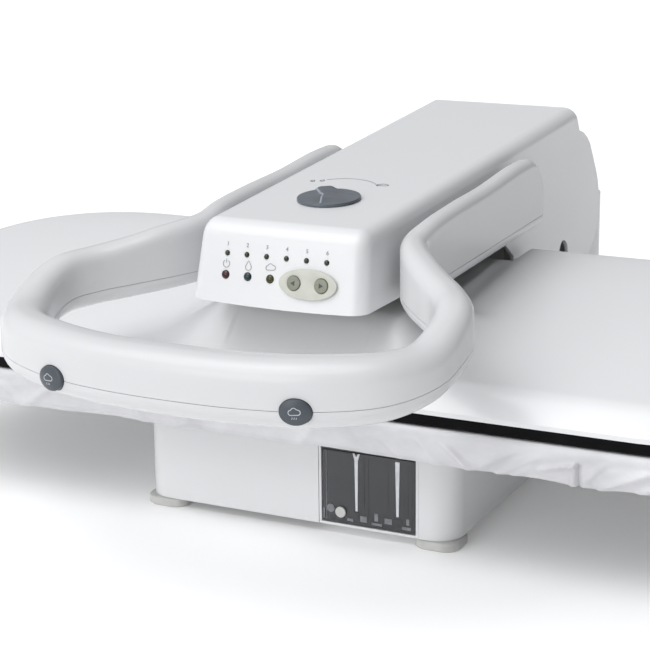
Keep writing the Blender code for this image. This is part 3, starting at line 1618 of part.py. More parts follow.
def make_arm_frame():
    bm = bmesh.new()
    add_box(
        bm,
        (-FRAME_HALF + WELD, back(FRAME_FRONT), FRAME_LOW),
        (FRAME_HALF - WELD, back(FRAME_REAR), FRAME_LOW + FRAME_THICK),
    )
    frame = part("head_arm_frame", bm, STEEL, HEAD)
    for name, side in (("left", -1), ("right", 1)):
        levels = sorted((side * FRAME_HALF, side * (FRAME_HALF - FRAME_THICK)))
        bm = bmesh.new()
        add_prism(bm, frame_outline(), *levels, sideways)
        join(frame, "frame_cheek_" + name, bm)
    reach = FRAME_HALF + OVERRUN
    bm = bmesh.new()
    add_rod(bm, (-reach, *HINGE.yz), (reach, *HINGE.yz), BUSH_OUTER + GAP, ROUND)
    add_rod(
        bm,
        (-reach, *HANDLE_AXIS.yz),
        (reach, *HANDLE_AXIS.yz),
        HANDLE_SHAFT_RADIUS + BUSH_CLEARANCE,
        ROUND,
    )
    cut(frame, "frame_bores", bm)


def make_bushes():
    middle = FRAME_HALF - FRAME_THICK / 2
    for name, side in (("left", -1), ("right", 1)):
        bm = bmesh.new()
        add_ring(
            bm,
            (side * middle, *HINGE.yz),
            (1, 0, 0),
            BUSH_OUTER,
            SHAFT_RADIUS + BUSH_CLEARANCE,
            2 * FRAME_THICK,
        )
        part("hinge_bush_" + name, bm, BRONZE, HEAD)


# Lever between the handle and the platen's neck

WEB_TOP = FRAME_LOW + FRAME_THICK
CAM_NOSE_DEPTH = 0.168
CAM_NOSE_HEIGHT = 0.006
CAM_HALF = 0.006
CAM_HUB = 0.0085


def make_pressure_cam():
    """A lever on the handle's shaft whose nose bears on the frame's web over the neck."""
    low = WEB_TOP + GAP
    nose = back(CAM_NOSE_DEPTH)
    outline = [(nose, low), (nose + CAM_NOSE_HEIGHT, low)]
    outline += arc(HANDLE_AXIS.yz, CAM_HUB, -105, 105, 10)
    outline += [(nose, low + CAM_NOSE_HEIGHT)]
    bm = bmesh.new()
    add_prism(bm, outline, -CAM_HALF, CAM_HALF, sideways)
    cam = part("pressure_cam", bm, STEEL, HANDLE)
    bm = bmesh.new()
    add_rod(
        bm,
        (-2 * CAM_HALF, *HANDLE_AXIS.yz),
        (2 * CAM_HALF, *HANDLE_AXIS.yz),
        HANDLE_SHAFT_RADIUS + GAP,
        SMALL_ROUND,
    )
    cut(cam, "cam_bore", bm)


VALVE_BLOCK = (0.030, 0.026, 0.018)
VALVE_BLOCK_DEPTH = 0.092
HEAD_HOSE_X = 0.028


def make_steam_valve():
    width, length, height = VALVE_BLOCK
    low = WEB_TOP + GAP
    bm = bmesh.new()
    add_box(
        bm,
        (0, back(VALVE_BLOCK_DEPTH), low),
        (width, back(VALVE_BLOCK_DEPTH + length), low + height),
    )
    valve = part("steam_valve", bm, BRONZE, HEAD)
    round_edges(valve, SHEET)
    z = low + HOSE_RADIUS
    start = back(VALVE_BLOCK_DEPTH + length) + GAP
    points = (
        (width - HOSE_RADIUS, start, z),
        (width - HOSE_RADIUS, between(start, HINGE.y, 0.08), z),
        (HEAD_HOSE_X, between(start, HINGE.y, 0.2), z),
        (HEAD_HOSE_X, between(start, HINGE.y, 0.6), z),
        (HEAD_HOSE_X - HOSE_RADIUS, between(start, HINGE.y, 0.78), z),
    )
    bm = bmesh.new()
    add_tube(bm, points, HOSE_RADIUS)
    part("head_hose", bm, SILICONE, HEAD)


# Handle

def loop_stations():
    """From the left arm's end round the front to the right arm's end: plan place, heights and width."""
    run = LOOP_FRONT + ARM_START
    half = []
    for x_share, y_share, seam, top, slim in LOOP_SHARES:
        half.append(
            (
                LOOP_HALF * x_share,
                -LOOP_FRONT + run * y_share,
                between(SEAM_FRONT_Z, SEAM_ARM_Z, seam),
                between(TOP_FRONT_Z, TOP_ARM_Z, top),
                between(GRIP_THICK, ARM_THICK, slim) / 2,
                between(GRIP_BELLY, ARM_BELLY, slim),
            )
        )
    places = [between(ARM_START, ARM_END - ARM_ROUND, share) for share, top in ARM_SHARES]
    tops = [between(TOP_FRONT_Z, TOP_ARM_Z, top) for share, top in ARM_SHARES]
    for degrees in (30, 52, 72, 90):
        angle = math.radians(degrees)
        places.append(ARM_END - ARM_ROUND + ARM_ROUND * math.sin(angle))
        tops.append(TOP_ARM_Z - ARM_ROUND + ARM_ROUND * math.cos(angle))
    for depth, top in zip(places, tops):
        seam = between(SEAM_ARM_Z, SEAM_END_Z, (depth - ARM_START) / (ARM_END - ARM_START))
        half.append((ARM_HALF, depth, seam, top, ARM_THICK / 2, ARM_BELLY))
    left = [(-x, *rest) for x, *rest in reversed(half[1:])]
    return left + half


def station_frames():
    """Each station with its place in the row's frame and its outward direction in plan."""
    stations = loop_stations()
    frames = []
    for k, (x, depth, seam, top, half, belly) in enumerate(stations):
        before = stations[max(k - 1, 0)]
        after = stations[min(k + 1, len(stations) - 1)]
        along = Vector((after[0] - before[0], after[1] - before[1])).normalized()
        out = Vector((along.y, -along.x))
        frames.append((Vector((x, back(depth))), out, seam, top, half, belly))
    return frames


def shell_section(half, rise, corner_steps=3):
    """Half of the handle's section above or below its seam: straight sides and a round crown."""
    radius = min(half * 0.9, abs(rise))
    tall = abs(rise) - radius
    sign = 1 if rise > 0 else -1
    right = [(half, 0)] if tall > WELD else []
    for k in range(corner_steps + 1):
        angle = math.radians(90 * k / corner_steps)
        right.append((half - radius + radius * math.cos(angle), sign * (tall + radius * math.sin(angle))))
    return right + [(-u, v) for u, v in reversed(right)]


def make_handle_shell(name, upper):
    frames = station_frames()
    bm = bmesh.new()
    rows = []
    for place, out, seam, top, half, belly in frames:
        rise = top - seam if upper else -belly
        lift = GAP / 2 if upper else -GAP / 2
        if upper:
            section = shell_section(half, rise)
        else:
            section = [(u, v) for u, v in belly_section(half, belly)]
        row = []
        for u, v in section:
            spot = place + out * u
            row.append(bm.verts.new((spot.x, spot.y, seam + lift + v)))
        rows.append(row)
    for a, b in zip(rows, rows[1:]):
        bridge(bm, a, b)
    bm.faces.new(rows[0])
    bm.faces.new(rows[-1][::-1])
    bmesh.ops.recalc_face_normals(bm, faces=bm.faces)
    crown = max(bm.faces, key=lambda face: abs(face.normal.z) * face.calc_area())
    if (crown.normal.z > 0) != upper:
        bmesh.ops.reverse_faces(bm, faces=bm.faces)
    shell = part(name, bm, WHITE_ABS, HANDLE)
    thicken(shell, SHELL)
    bm = bmesh.new()
    for side in (-1, 1):
        add_steam_cap(bm, side, STEAM_CLEARANCE, STEAM_PROUD + OVERRUN, -2 * OVERRUN)
    cut(shell, name + "_button_holes", bm)
    if upper:
        bm = bmesh.new()
        inner = ARM_HALF - ARM_THICK / 2
        for side in (-1, 1):
            add_rod(
                bm,
                (side * (inner - OVERRUN), *HANDLE_AXIS.yz),
                (side * (inner + SHELL + SHEET), *HANDLE_AXIS.yz),
                HANDLE_SHAFT_RADIUS + RUNNING_GAP,
                SMALL_ROUND,
            )
        cut(shell, "arm_shaft_holes", bm)


BELLY_EDGE_SHARE = 0.15


def belly_section(half, belly):
    """The lower shell's section: a shallow half oval under the seam."""
    points = [(half, 0)]
    for k in range(7):
        angle = math.radians(30 * k)
        points.append((half * math.cos(angle), -belly * between(BELLY_EDGE_SHARE, 1, math.sin(angle))))
    return points + [(-half, 0)]


def steam_frame(side):
    """Place on the outer skin, outward direction and along direction at a steam button."""
    frames = station_frames()
    for first, second in zip(frames, frames[1:]):
        low, high = sorted((first[0].x, second[0].x))
        if low <= side * STEAM_X <= high and first[0].y < back(0):
            share = (side * STEAM_X - first[0].x) / (second[0].x - first[0].x)
            place = first[0].lerp(second[0], share)
            out = first[1].lerp(second[1], share).normalized()
            seam = between(first[2], second[2], share)
            half = between(first[4], second[4], share)
            skin = place + out * half
            return Vector((skin.x, skin.y, seam)), Vector((out.x, out.y, 0)), Vector((-out.y, out.x, 0))
    raise ValueError("the steam buttons lie off the handle's front")


def add_steam_cap(bm, side, grow, high, low):
    skin, out, along = steam_frame(side)

    def on_skin(u, v, level):
        return skin + along * u + Vector((0, 0, v)) + out * level

    outline = ellipse(STEAM_HALF_WIDTH + grow, STEAM_HALF_HEIGHT + grow, 20)
    return add_prism(bm, outline, low, high, on_skin)


STEAM_SWITCH_DEPTH = 0.0122
STEAM_SWITCH_SIZE = (0.012, 0.0075, 0.0150)


def make_steam_buttons():
    for name, side in (("left", -1), ("right", 1)):
        skin, out, along = steam_frame(side)
        body = body_empty("steam_button_%s_body" % name, skin, HANDLE)
        bm = bmesh.new()
        add_steam_cap(bm, side, 0, STEAM_PROUD, STEAM_PROUD - STEAM_CAP)
        button = part("steam_button_" + name, bm, SLATE_ABS, body)
        bm = bmesh.new()
        start = skin + out * (STEAM_PROUD - STEAM_CAP + SHEET / 2)
        foot = skin - out * (STEAM_SWITCH_DEPTH - STEAM_TRAVEL - GAP)
        add_rod(bm, start, foot, STEAM_STEM_RADIUS, 8)
        join(button, "steam_stem_" + name, bm)


def make_steam_switches():
    width, deep, high = STEAM_SWITCH_SIZE
    top = CORE_RISE - CORE_RADIUS - GAP
    for name, side in (("left", -1), ("right", 1)):
        skin, out, along = steam_frame(side)
        bm = bmesh.new()
        verts = add_box(
            bm,
            (-width / 2, -STEAM_SWITCH_DEPTH - deep, top - high),
            (width / 2, -STEAM_SWITCH_DEPTH, top),
        )
        for vert in verts:
            u, level, v = vert.co
            vert.co = skin + along * u + out * level + Vector((0, 0, v))
        part("steam_switch_" + name, bm, COMPONENT, HANDLE)


LUG_BEFORE_SHAFT = 0.036
LUG_BEHIND_SHAFT = 0.014
LUG_HALF_HEIGHT = 0.012
LUG_FRONT = HANDLE_SHAFT_DEPTH - LUG_BEFORE_SHAFT
LUG_REAR = HANDLE_SHAFT_DEPTH + LUG_BEHIND_SHAFT
LUG_LOW = HANDLE_SHAFT_Z - LUG_HALF_HEIGHT
LUG_HIGH = HANDLE_SHAFT_Z + LUG_HALF_HEIGHT
LUG_SIDE_GAP = 0.0006


def make_core_bar():
    """A steel bar round the loop with a flat lug at each end for the handle's shaft."""
    points = []
    for place, out, seam, top, half, belly in station_frames():
        if place.y < back(LUG_FRONT):
            points.append((place.x, place.y, seam + CORE_RISE))
    seam = between(SEAM_ARM_Z, SEAM_END_Z, (LUG_FRONT - ARM_START) / (ARM_END - ARM_START))
    end = (ARM_HALF, back(LUG_FRONT + CORE_RADIUS), seam + CORE_RISE)
    points = [(-end[0], *end[1:])] + points + [end]
    bm = bmesh.new()
    add_tube(bm, points, CORE_RADIUS)
    bar = part("handle_core_bar", bm, STEEL, HANDLE)
    half = ARM_THICK / 2 - SHELL - LUG_SIDE_GAP
    for name, side in (("left", -1), ("right", 1)):
        bm = bmesh.new()
        add_box(
            bm,
            (side * ARM_HALF - half, back(LUG_FRONT), LUG_LOW),
            (side * ARM_HALF + half, back(LUG_REAR), LUG_HIGH),
        )
        join(bar, "core_lug_" + name, bm)
    bm = bmesh.new()
    for side in (-1, 1):
        add_rod(
            bm,
            (side * (ARM_HALF - ARM_THICK), *HANDLE_AXIS.yz),
            (side * (ARM_HALF + ARM_THICK), *HANDLE_AXIS.yz),
            HANDLE_SHAFT_RADIUS + GAP,
            SMALL_ROUND,
        )
    cut(bar, "core_lug_bores", bm)


def make_handle_shaft():
    reach = ARM_HALF + ARM_THICK / 2 - SHELL - GAP
    bm = bmesh.new()
    add_rod(bm, (-reach, *HANDLE_AXIS.yz), (reach, *HANDLE_AXIS.yz), HANDLE_SHAFT_RADIUS, ROUND)
    part("handle_shaft", bm, STEEL, HANDLE)


def build():
    make_base_housing()
    make_base_tray()
    make_feet()
    make_column_cover()
    make_hinge_bracket()
    make_hinge_shaft()
    make_hinge_spring()
    make_column_screws()
    make_cord_gland()
    make_power_board()
    make_water_pump()
    make_valve_seat()
    make_pump_hose()
    make_tank_bay()
    make_water_tank()
    make_tank_lid()
    make_tank_fittings()
    make_board_pan()
    make_foam_pad()
    make_board_cover()
    make_platen_cover()
    make_platen_skirt()
    make_soleplate()
    make_heating_element()
    make_platen_fittings()
    make_head_cover()
    make_head_floor()
    make_lamps()
    make_control_board()
    make_set_pad()
    make_set_keys()
    make_dial()
    make_arm_frame()
    make_bushes()
    make_pressure_cam()
    make_steam_valve()
    make_handle_shell("handle_upper_shell", True)
    make_handle_shell("handle_lower_shell", False)
    make_steam_buttons()
    make_steam_switches()
    make_core_bar()
    make_handle_shaft()


build()
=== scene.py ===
"""Looks of a steam ironing press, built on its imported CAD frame."""

import json
import math

import bmesh
import bpy
from mathutils import Matrix, Vector, noise

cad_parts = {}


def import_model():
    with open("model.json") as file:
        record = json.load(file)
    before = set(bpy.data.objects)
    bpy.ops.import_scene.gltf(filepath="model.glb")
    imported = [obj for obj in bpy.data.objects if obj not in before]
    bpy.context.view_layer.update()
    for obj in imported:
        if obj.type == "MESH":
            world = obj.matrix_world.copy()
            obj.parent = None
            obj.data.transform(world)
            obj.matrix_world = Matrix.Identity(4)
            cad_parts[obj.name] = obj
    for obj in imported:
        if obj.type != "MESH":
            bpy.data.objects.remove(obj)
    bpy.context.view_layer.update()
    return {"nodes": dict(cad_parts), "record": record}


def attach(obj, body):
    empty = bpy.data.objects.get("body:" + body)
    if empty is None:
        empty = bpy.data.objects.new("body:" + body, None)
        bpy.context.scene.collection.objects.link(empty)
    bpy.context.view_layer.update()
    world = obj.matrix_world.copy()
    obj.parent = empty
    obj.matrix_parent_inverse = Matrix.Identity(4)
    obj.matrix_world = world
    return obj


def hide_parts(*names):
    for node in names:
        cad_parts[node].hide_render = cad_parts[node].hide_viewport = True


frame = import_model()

NODES = frame["nodes"]
bpy.ops.object.select_all(action="DESELECT")

# Sizes and places shared with the solids, in metres. Depths run back from the platen's front edge.
FRONT_Y = -0.159
HINGE = Vector((0, FRONT_Y + 0.385, 0.150))
HANDLE_AXIS = Vector((0, FRONT_Y + 0.232, 0.185))
WALL = 0.0025
TINY = 0.00001
SIDES = (("left", -1), ("right", 1))


def back(depth):
    return FRONT_Y + depth


def clamp(value, low=0, high=1):
    return min(max(value, low), high)


def soft_step(value, start, end):
    share = clamp((value - start) / (end - start))
    return share * share * (3 - 2 * share)


def between(a, b, share):
    return a + (b - a) * share


# Materials

def linear(code):
    """A hex sRGB colour as linear values."""
    channels = [int(code[k : k + 2], 16) / 255 for k in (1, 3, 5)]
    return [c / 12.92 if c <= 0.04045 else ((c + 0.055) / 1.055) ** 2.4 for c in channels] + [1]


def add(tree, kind, inputs=None, **settings):
    """Adds a node, sets it up and links or fills its inputs."""
    made = tree.nodes.new(kind)
    for name, value in settings.items():
        setattr(made, name, value)
    for name, value in (inputs or {}).items():
        if isinstance(value, bpy.types.NodeSocket):
            tree.links.new(value, made.inputs[name])
        else:
            made.inputs[name].default_value = value
    return made


def ramp(made, *stops):
    """Sets a colour ramp's stops: (place, hex colour)."""
    elements = made.color_ramp.elements
    while len(elements) < len(stops):
        elements.new(0.5)
    for element, (place, code) in zip(elements, stops):
        element.position = place
        element.color = linear(code)
    return made.outputs["Color"]


def new_material(name):
    material = bpy.data.materials.new(name)
    material.use_nodes = True
    return material, material.node_tree, material.node_tree.nodes["Principled BSDF"]


def ranged(tree, value, low, high, to_low, to_high):
    """A value carried over from one range to another."""
    inputs = {"Value": value, "From Min": low, "From Max": high, "To Min": to_low, "To Max": to_high}
    return add(tree, "ShaderNodeMapRange", inputs).outputs["Result"]


# Where on the noise the deep and the pale tone lie, and how the gloss goes with them
DEEP_AT, PALE_AT = 0.3, 0.7
DEEP_GLOSS, PALE_GLOSS = 1.08, 0.94


def finish_of(name, pale, deep, roughness, mottle_mm, grain_mm, grain_depth_mm, stretch=(1, 1, 1), **sockets):
    """A moulded, cast, drawn or painted surface: slow colour drift, uneven gloss and a fine grain."""
    material, tree, shader = new_material(name)
    place = add(tree, "ShaderNodeTexCoord").outputs["Object"]
    laid = add(tree, "ShaderNodeMapping", {"Vector": place, "Scale": stretch}).outputs["Vector"]
    drift = add(tree, "ShaderNodeTexNoise", {"Vector": laid, "Scale": 1000 / mottle_mm, "Detail": 4.0})
    tint = add(tree, "ShaderNodeValToRGB", {"Fac": drift.outputs["Fac"]})
    tree.links.new(ramp(tint, (DEEP_AT, deep), (PALE_AT, pale)), shader.inputs["Base Color"])
    gloss = (roughness * DEEP_GLOSS, roughness * PALE_GLOSS)
    tree.links.new(ranged(tree, drift.outputs["Fac"], DEEP_AT, PALE_AT, *gloss), shader.inputs["Roughness"])
    grain = add(tree, "ShaderNodeTexNoise", {"Vector": laid, "Scale": 1000 / grain_mm, "Detail": 2.0})
    raised = {"Height": grain.outputs["Fac"], "Distance": grain_depth_mm / 1000, "Strength": 1.0}
    tree.links.new(add(tree, "ShaderNodeBump", raised).outputs["Normal"], shader.inputs["Normal"])
    for socket, value in sockets.items():
        shader.inputs[socket.replace("_", " ")].default_value = value
    return material


# Each finish: its name, pale and deep tone, roughness, then mottling, grain and depth of grain in millimetres

# Moulded ABS with a polished mould: bright soft reflections over a very slight orange peel
WHITE_ABS = finish_of("glossy white moulded ABS", "#E3E4E5", "#E2E3E4", 0.24, 60, 2.6, 0.006, IOR=1.53)
# The handle's ABS: the same white plastic, painted slightly greyer as shade
SHADED_HANDLE_ABS = finish_of("glossy white ABS with painted shade", "#D3D4D5", "#D2D3D4", 0.24, 60, 2.6, 0.006, IOR=1.53)
# ABS from a spark-eroded mould: an even satin
GREY_ABS = finish_of("pale grey satin ABS", "#C9C9C6", "#BFBFBC", 0.5, 25, 0.6, 0.02, IOR=1.53)
# Slate grey ABS of the dial: satin with a soft highlight
SLATE_ABS = finish_of("slate grey satin ABS", "#60666E", "#555B63", 0.34, 14, 0.5, 0.008, IOR=1.53)
# Glass-filled nylon: near black, finely grained
BLACK_NYLON = finish_of("satin black nylon", "#161618", "#101012", 0.5, 18, 0.5, 0.02, IOR=1.45)
# The platen's heat-resistant skirt: a deep matt black
SKIRT_NYLON = finish_of(
    "matt black nylon skirt", "#0B0B0D", "#080809", 0.7, 18, 0.5, 0.02, IOR=1.45, Specular_IOR_Level=0.12
)
# A painted highlight on the crest of the dial's grip: the same slate, painted paler
HIGHLIT_SLATE = finish_of("slate ABS with painted highlight", "#A0A6AE", "#8F959D", 0.3, 14, 0.5, 0.004, IOR=1.53)
# The steam buttons: a darker slate than the dial
BUTTON_ABS = finish_of("dark slate satin ABS", "#4A5057", "#40464D", 0.3, 14, 0.5, 0.008, IOR=1.5)
# Frosted polycarbonate of the tank's sight ribs, painted pale partly as the highlight the ribs catch
FROSTED_AND_HIGHLIT = finish_of("frosted polycarbonate with painted highlight", "#E2E4E6", "#CDD0D3", 0.4, 5, 0.5, 0.01, IOR=1.585)
# Smoke polycarbonate where it is textured: paler and matt
PALE_SMOKE = finish_of("textured smoke polycarbonate", "#85868A", "#6C6D71", 0.45, 4, 0.5, 0.02, IOR=1.585)
# Zinc-plated pressed steel: a cool spangle with drawing marks
ZINC_STEEL = finish_of("zinc plated steel", "#B9BABA", "#9C9D9E", 0.36, 5, 0.4, 0.008, Metallic=1.0)
# Ground bar: bright with fine marks round it
ROUND = (6, 1, 1)
GROUND_STEEL = finish_of("ground steel bar", "#C9C9C8", "#B4B4B3", 0.2, 8, 0.3, 0.004, ROUND, Metallic=1.0)
# Oil-tempered spring wire: dark and smooth
SPRING_STEEL = finish_of("oil tempered spring wire", "#4A4A4C", "#38383A", 0.32, 4, 0.3, 0.004, Metallic=1.0)
# Cast and face-milled aluminium
CAST_ALUMINIUM = finish_of("cast aluminium", "#C8C9CA", "#B2B3B5", 0.38, 9, 0.5, 0.02, Metallic=1.0)
# Sintered bronze: warm, porous and matt
BRONZE = finish_of("sintered bronze", "#B0894F", "#8F6C3B", 0.46, 3, 0.35, 0.02, Metallic=1.0)
# Solder mask over copper: glossy green with darker tracks
CIRCUIT = finish_of("green solder mask", "#1F6B3C", "#15502C", 0.3, 3, 1.2, 0.03, (1, 3, 1), IOR=1.5)
# Moulded phenolic of the electrical components
PHENOLIC = finish_of("black moulded phenolic", "#2A2A2A", "#1D1D1D", 0.5, 10, 0.6, 0.02, IOR=1.6)
# Extruded silicone hose: milky and soft
SILICONE = finish_of("milky silicone rubber", "#E2DFD6", "#D3D0C6", 0.55, 8, 0.8, 0.01, IOR=1.42)
# Feet in a pale thermoplastic rubber: matt, faintly warm
FOOT_RUBBER = finish_of("pale grey thermoplastic rubber", "#CACAC7", "#BDBDBA", 0.62, 9, 0.5, 0.02, IOR=1.5)
# Key membrane: warm grey, satin
PAD_GREY = finish_of("warm grey pad plastic", "#CDCEC4", "#C4C5BB", 0.42, 9, 0.5, 0.006, IOR=1.5)
# Moulded key caps: olive grey silicone rubber
KEY_RUBBER = finish_of("olive grey key rubber", "#929585", "#838678", 0.5, 3, 0.4, 0.01, IOR=1.42)
# Pad printing inks: thin, matt and even
GREY_INK, DARK_INK, PALE_INK = [
    finish_of(tone + " pad printing ink", pale, deep, 0.6, 3, 0.3, 0.002)
    for tone, pale, deep in (
        ("grey", "#8A8B8E", "#7C7D80"),
        ("dark", "#55565A", "#47484C"),
        ("pale", "#C3C8CC", "#B2B7BC"),
    )
]
# Polyester felt: dense fibres
FELT = finish_of("cream polyester felt", "#E3DDC8", "#CFC8B0", 0.95, 4, 0.7, 0.25, IOR=1.45)
# Unlit lamp lenses in tinted epoxy: dark, glossy, with a faint colour
OLIVE_LENS, RED_LENS, TEAL_LENS, YELLOW_LENS = [
    finish_of("dark %s epoxy lens" % hue, pale, deep, 0.12, 2, 0.4, 0.002, IOR=1.55)
    for hue, pale, deep in (
        ("olive", "#34371F", "#23250F"),
        ("red", "#4E1518", "#2C0C0E"),
        ("teal", "#153A3A", "#0D2224"),
        ("yellow", "#4B4A12", "#29290A"),
    )
]
# Injection-moulded smoke polycarbonate: dark, clear and glossy, with faint flow lines
CLEAR = {"IOR": 1.585, "Transmission_Weight": 0.55}
SMOKE = finish_of("smoke polycarbonate", "#5E5F63", "#505155", 0.07, 30, 9, 0.03, (1, 1, 0.3), **CLEAR)

# The cloth's threads lie 0.5 mm apart and are drawn at 0.8 mm, because the true weave is finer than a pixel
THREAD, THREAD_HEIGHT = 0.0008, 0.000006
CREASE_SCALE, CREASE_HEIGHT = 90.0, 0.0006
TONE_SCALE = 22.0


def coated_cotton():
    """Cotton with an aluminium coating: plain weave, a cool sheen, and fine creasing between its folds."""
    material, tree, shader = new_material("silver coated cotton")
    place = add(tree, "ShaderNodeTexCoord").outputs["UV"]
    drift = add(tree, "ShaderNodeTexNoise", {"Vector": place, "Scale": TONE_SCALE, "Detail": 5.0})
    tint = add(tree, "ShaderNodeValToRGB", {"Fac": drift.outputs["Fac"]})
    tree.links.new(ramp(tint, (DEEP_AT, "#C3C3C6"), (PALE_AT, "#D6D6D8")), shader.inputs["Base Color"])
    # A wave texture of scale 1 repeats every tau / 20 units
    bands = {"Vector": place, "Scale": math.tau / 20 / THREAD, "Distortion": 0.6, "Detail": 1.0}
    warp, weft = [add(tree, "ShaderNodeTexWave", bands, bands_direction=way).outputs["Fac"] for way in "XY"]
    weave = add(tree, "ShaderNodeMath", {0: warp, 1: weft}, operation="MULTIPLY")
    uneven = {"Vector": place, "Scale": CREASE_SCALE, "Detail": 4.0, "Distortion": 0.8}
    crease = add(tree, "ShaderNodeTexNoise", uneven)
    woven = {"Height": weave.outputs[0], "Distance": THREAD_HEIGHT, "Strength": 1.0}
    fine = add(tree, "ShaderNodeBump", woven).outputs["Normal"]
    creased = {"Height": crease.outputs["Fac"], "Distance": CREASE_HEIGHT, "Strength": 0.7, "Normal": fine}
    tree.links.new(add(tree, "ShaderNodeBump", creased).outputs["Normal"], shader.inputs["Normal"])
    for socket, value in (("Roughness", 0.5), ("Metallic", 0.12), ("Sheen Weight", 0.2)):
        shader.inputs[socket].default_value = value
    return material


CLOTH = coated_cotton()


# Modelling helpers

def choose(piece=None):
    """Deselects everything, then selects one piece, where one is given."""
    bpy.ops.object.select_all(action="DESELECT")
    if piece:
        bpy.context.view_layer.objects.active = piece
        piece.select_set(True)


def edit(piece, chosen="DESELECT"):
    """Puts one piece in edit mode with nothing selected, or with all of it."""
    choose(piece)
    bpy.ops.object.mode_set(mode="EDIT")
    bpy.ops.mesh.select_all(action=chosen)


def select_edges(piece, test):
    """Selects the edges whose two ends pass test(a, b), in edit mode."""
    bpy.ops.mesh.select_mode(type="EDGE")
    bm = bmesh.from_edit_mesh(piece.data)
    for edge in bm.edges:
        edge.select_set(test(edge.verts[0].co, edge.verts[1].co))
    bm.select_flush_mode()
    bmesh.update_edit_mesh(piece.data)


def done(piece):
    bpy.ops.object.mode_set(mode="OBJECT")
    return piece


def delete_faces(piece, test):
    """Deletes the faces whose middle and normal pass test(middle, normal)."""
    edit(piece)
    bpy.ops.mesh.select_mode(type="FACE")
    bm = bmesh.from_edit_mesh(piece.data)
    for face in bm.faces:
        face.select_set(test(face.calc_center_median(), face.normal))
    bmesh.update_edit_mesh(piece.data)
    bpy.ops.mesh.delete(type="FACE")
    return done(piece)


def named(name):
    """Names the object that the last operator added, with its place applied to its mesh."""
    piece = bpy.context.object
    piece.name = name
    piece.data.name = name
    bpy.ops.object.transform_apply(location=True, rotation=True, scale=True)
    return piece


def box(name, low, high):
    """A cube primitive between two corners."""
    choose()
    low, high = Vector(low), Vector(high)
    bpy.ops.mesh.primitive_cube_add(size=1, location=(low + high) / 2, scale=high - low)
    return named(name)


def rod(name, start, end, radius, sides=48):
    """A cylinder primitive from one point to another."""
    choose()
    start, end = Vector(start), Vector(end)
    along = end - start
    turn = along.to_track_quat("Z", "Y").to_euler()
    settings = {"depth": along.length, "location": (start + end) / 2, "rotation": turn}
    bpy.ops.mesh.primitive_cylinder_add(vertices=sides, radius=radius, **settings)
    return named(name)


def shaped_grid(name, columns, rows, place):
    """A grid primitive whose points are moved to place(u, v), u and v from 0 to 1."""
    choose()
    bpy.ops.mesh.primitive_grid_add(x_subdivisions=columns, y_subdivisions=rows, size=2)
    piece = named(name)
    for vert in piece.data.vertices:
        vert.co = place((vert.co.x + 1) / 2, (vert.co.y + 1) / 2)
    return piece


def slab(name, points, thickness, matrix):
    """A flat outline of (u, v) points, extruded both ways from its plane and set in place by a matrix."""
    choose()
    bpy.ops.mesh.primitive_circle_add(vertices=len(points), fill_type="NGON")
    piece = named(name)
    for vert, (u, v) in zip(piece.data.vertices, points):
        vert.co = (u, v, -thickness / 2)
    edit(piece, "SELECT")
    bpy.ops.mesh.extrude_region_move(TRANSFORM_OT_translate={"value": (0, 0, thickness)})
    done(piece)
    piece.data.transform(matrix)
    return clean(piece)


def linked(name, data):
    """A new object for curve or text data, in the scene."""
    piece = bpy.data.objects.new(name, data)
    bpy.context.scene.collection.objects.link(piece)
    return piece


def made_mesh(piece, matrix):
    """Turns a curve or text object into a mesh, then applies its place."""
    choose(piece)
    bpy.ops.object.convert(target="MESH")
    piece = bpy.context.object
    piece.data.transform(matrix)
    return clean(piece)


def wire(name, points, radius, closed=False):
    """A bevelled curve through points, made a mesh."""
    curve = bpy.data.curves.new(name, "CURVE")
    curve.dimensions = "3D"
    curve.bevel_depth = radius
    curve.bevel_resolution = 3
    curve.use_fill_caps = not closed
    spline = curve.splines.new("POLY")
    spline.points.add(len(points) - 1)
    for spot, point in zip(spline.points, points):
        spot.co = (*point, 1)
    spline.use_cyclic_u = closed
    return made_mesh(linked(name, curve), Matrix())


def clean(piece, distance=TINY):
    """Merges doubled points and turns the faces outwards."""
    edit(piece, "SELECT")
    bpy.ops.mesh.remove_doubles(threshold=distance)
    bpy.ops.mesh.normals_make_consistent(inside=False)
    return done(piece)


def close_rim(piece):
    """Fills the open rim with one face and turns the faces outwards."""
    edit(piece)
    bpy.ops.mesh.select_mode(type="EDGE")
    bpy.ops.mesh.select_non_manifold(extend=False)
    bpy.ops.mesh.edge_face_add()
    bpy.ops.mesh.select_all(action="SELECT")
    bpy.ops.mesh.normals_make_consistent(inside=False)
    return done(piece)


def bevel(piece, test, width, segments):
    """Bevels the edges that pass test."""
    edit(piece)
    select_edges(piece, test)
    bpy.ops.mesh.bevel(offset=width, segments=segments, profile=0.5, affect="EDGES")
    return done(piece)


def modifier(piece, kind, **settings):
    """Adds a modifier and applies it."""
    choose(piece)
    made = piece.modifiers.new(kind, kind)
    for name, value in settings.items():
        setattr(made, name, value)
    bpy.ops.object.modifier_apply(modifier=made.name)
    return piece


def hollow(piece, wall=WALL, even=True):
    """Gives an open skin a wall that grows inwards."""
    return modifier(piece, "SOLIDIFY", thickness=wall, offset=-1, use_even_offset=even)


def carve(piece, *cutters, operation="DIFFERENCE"):
    """Cuts the cutters out of the piece, or joins them to it, and removes them."""
    for cutter in cutters:
        modifier(piece, "BOOLEAN", operation=operation, solver="EXACT", object=cutter)
        bpy.data.objects.remove(cutter, do_unlink=True)
    return piece


def rounded(piece, width, segments, angle=40):
    """Breaks the sharp edges, as a mould does."""
    limits = {"limit_method": "ANGLE", "angle_limit": math.radians(angle), "use_clamp_overlap": True}
    return modifier(piece, "BEVEL", width=width, segments=segments, **limits)


def wear(piece, material):
    piece.data.materials.clear()
    piece.data.materials.append(material)


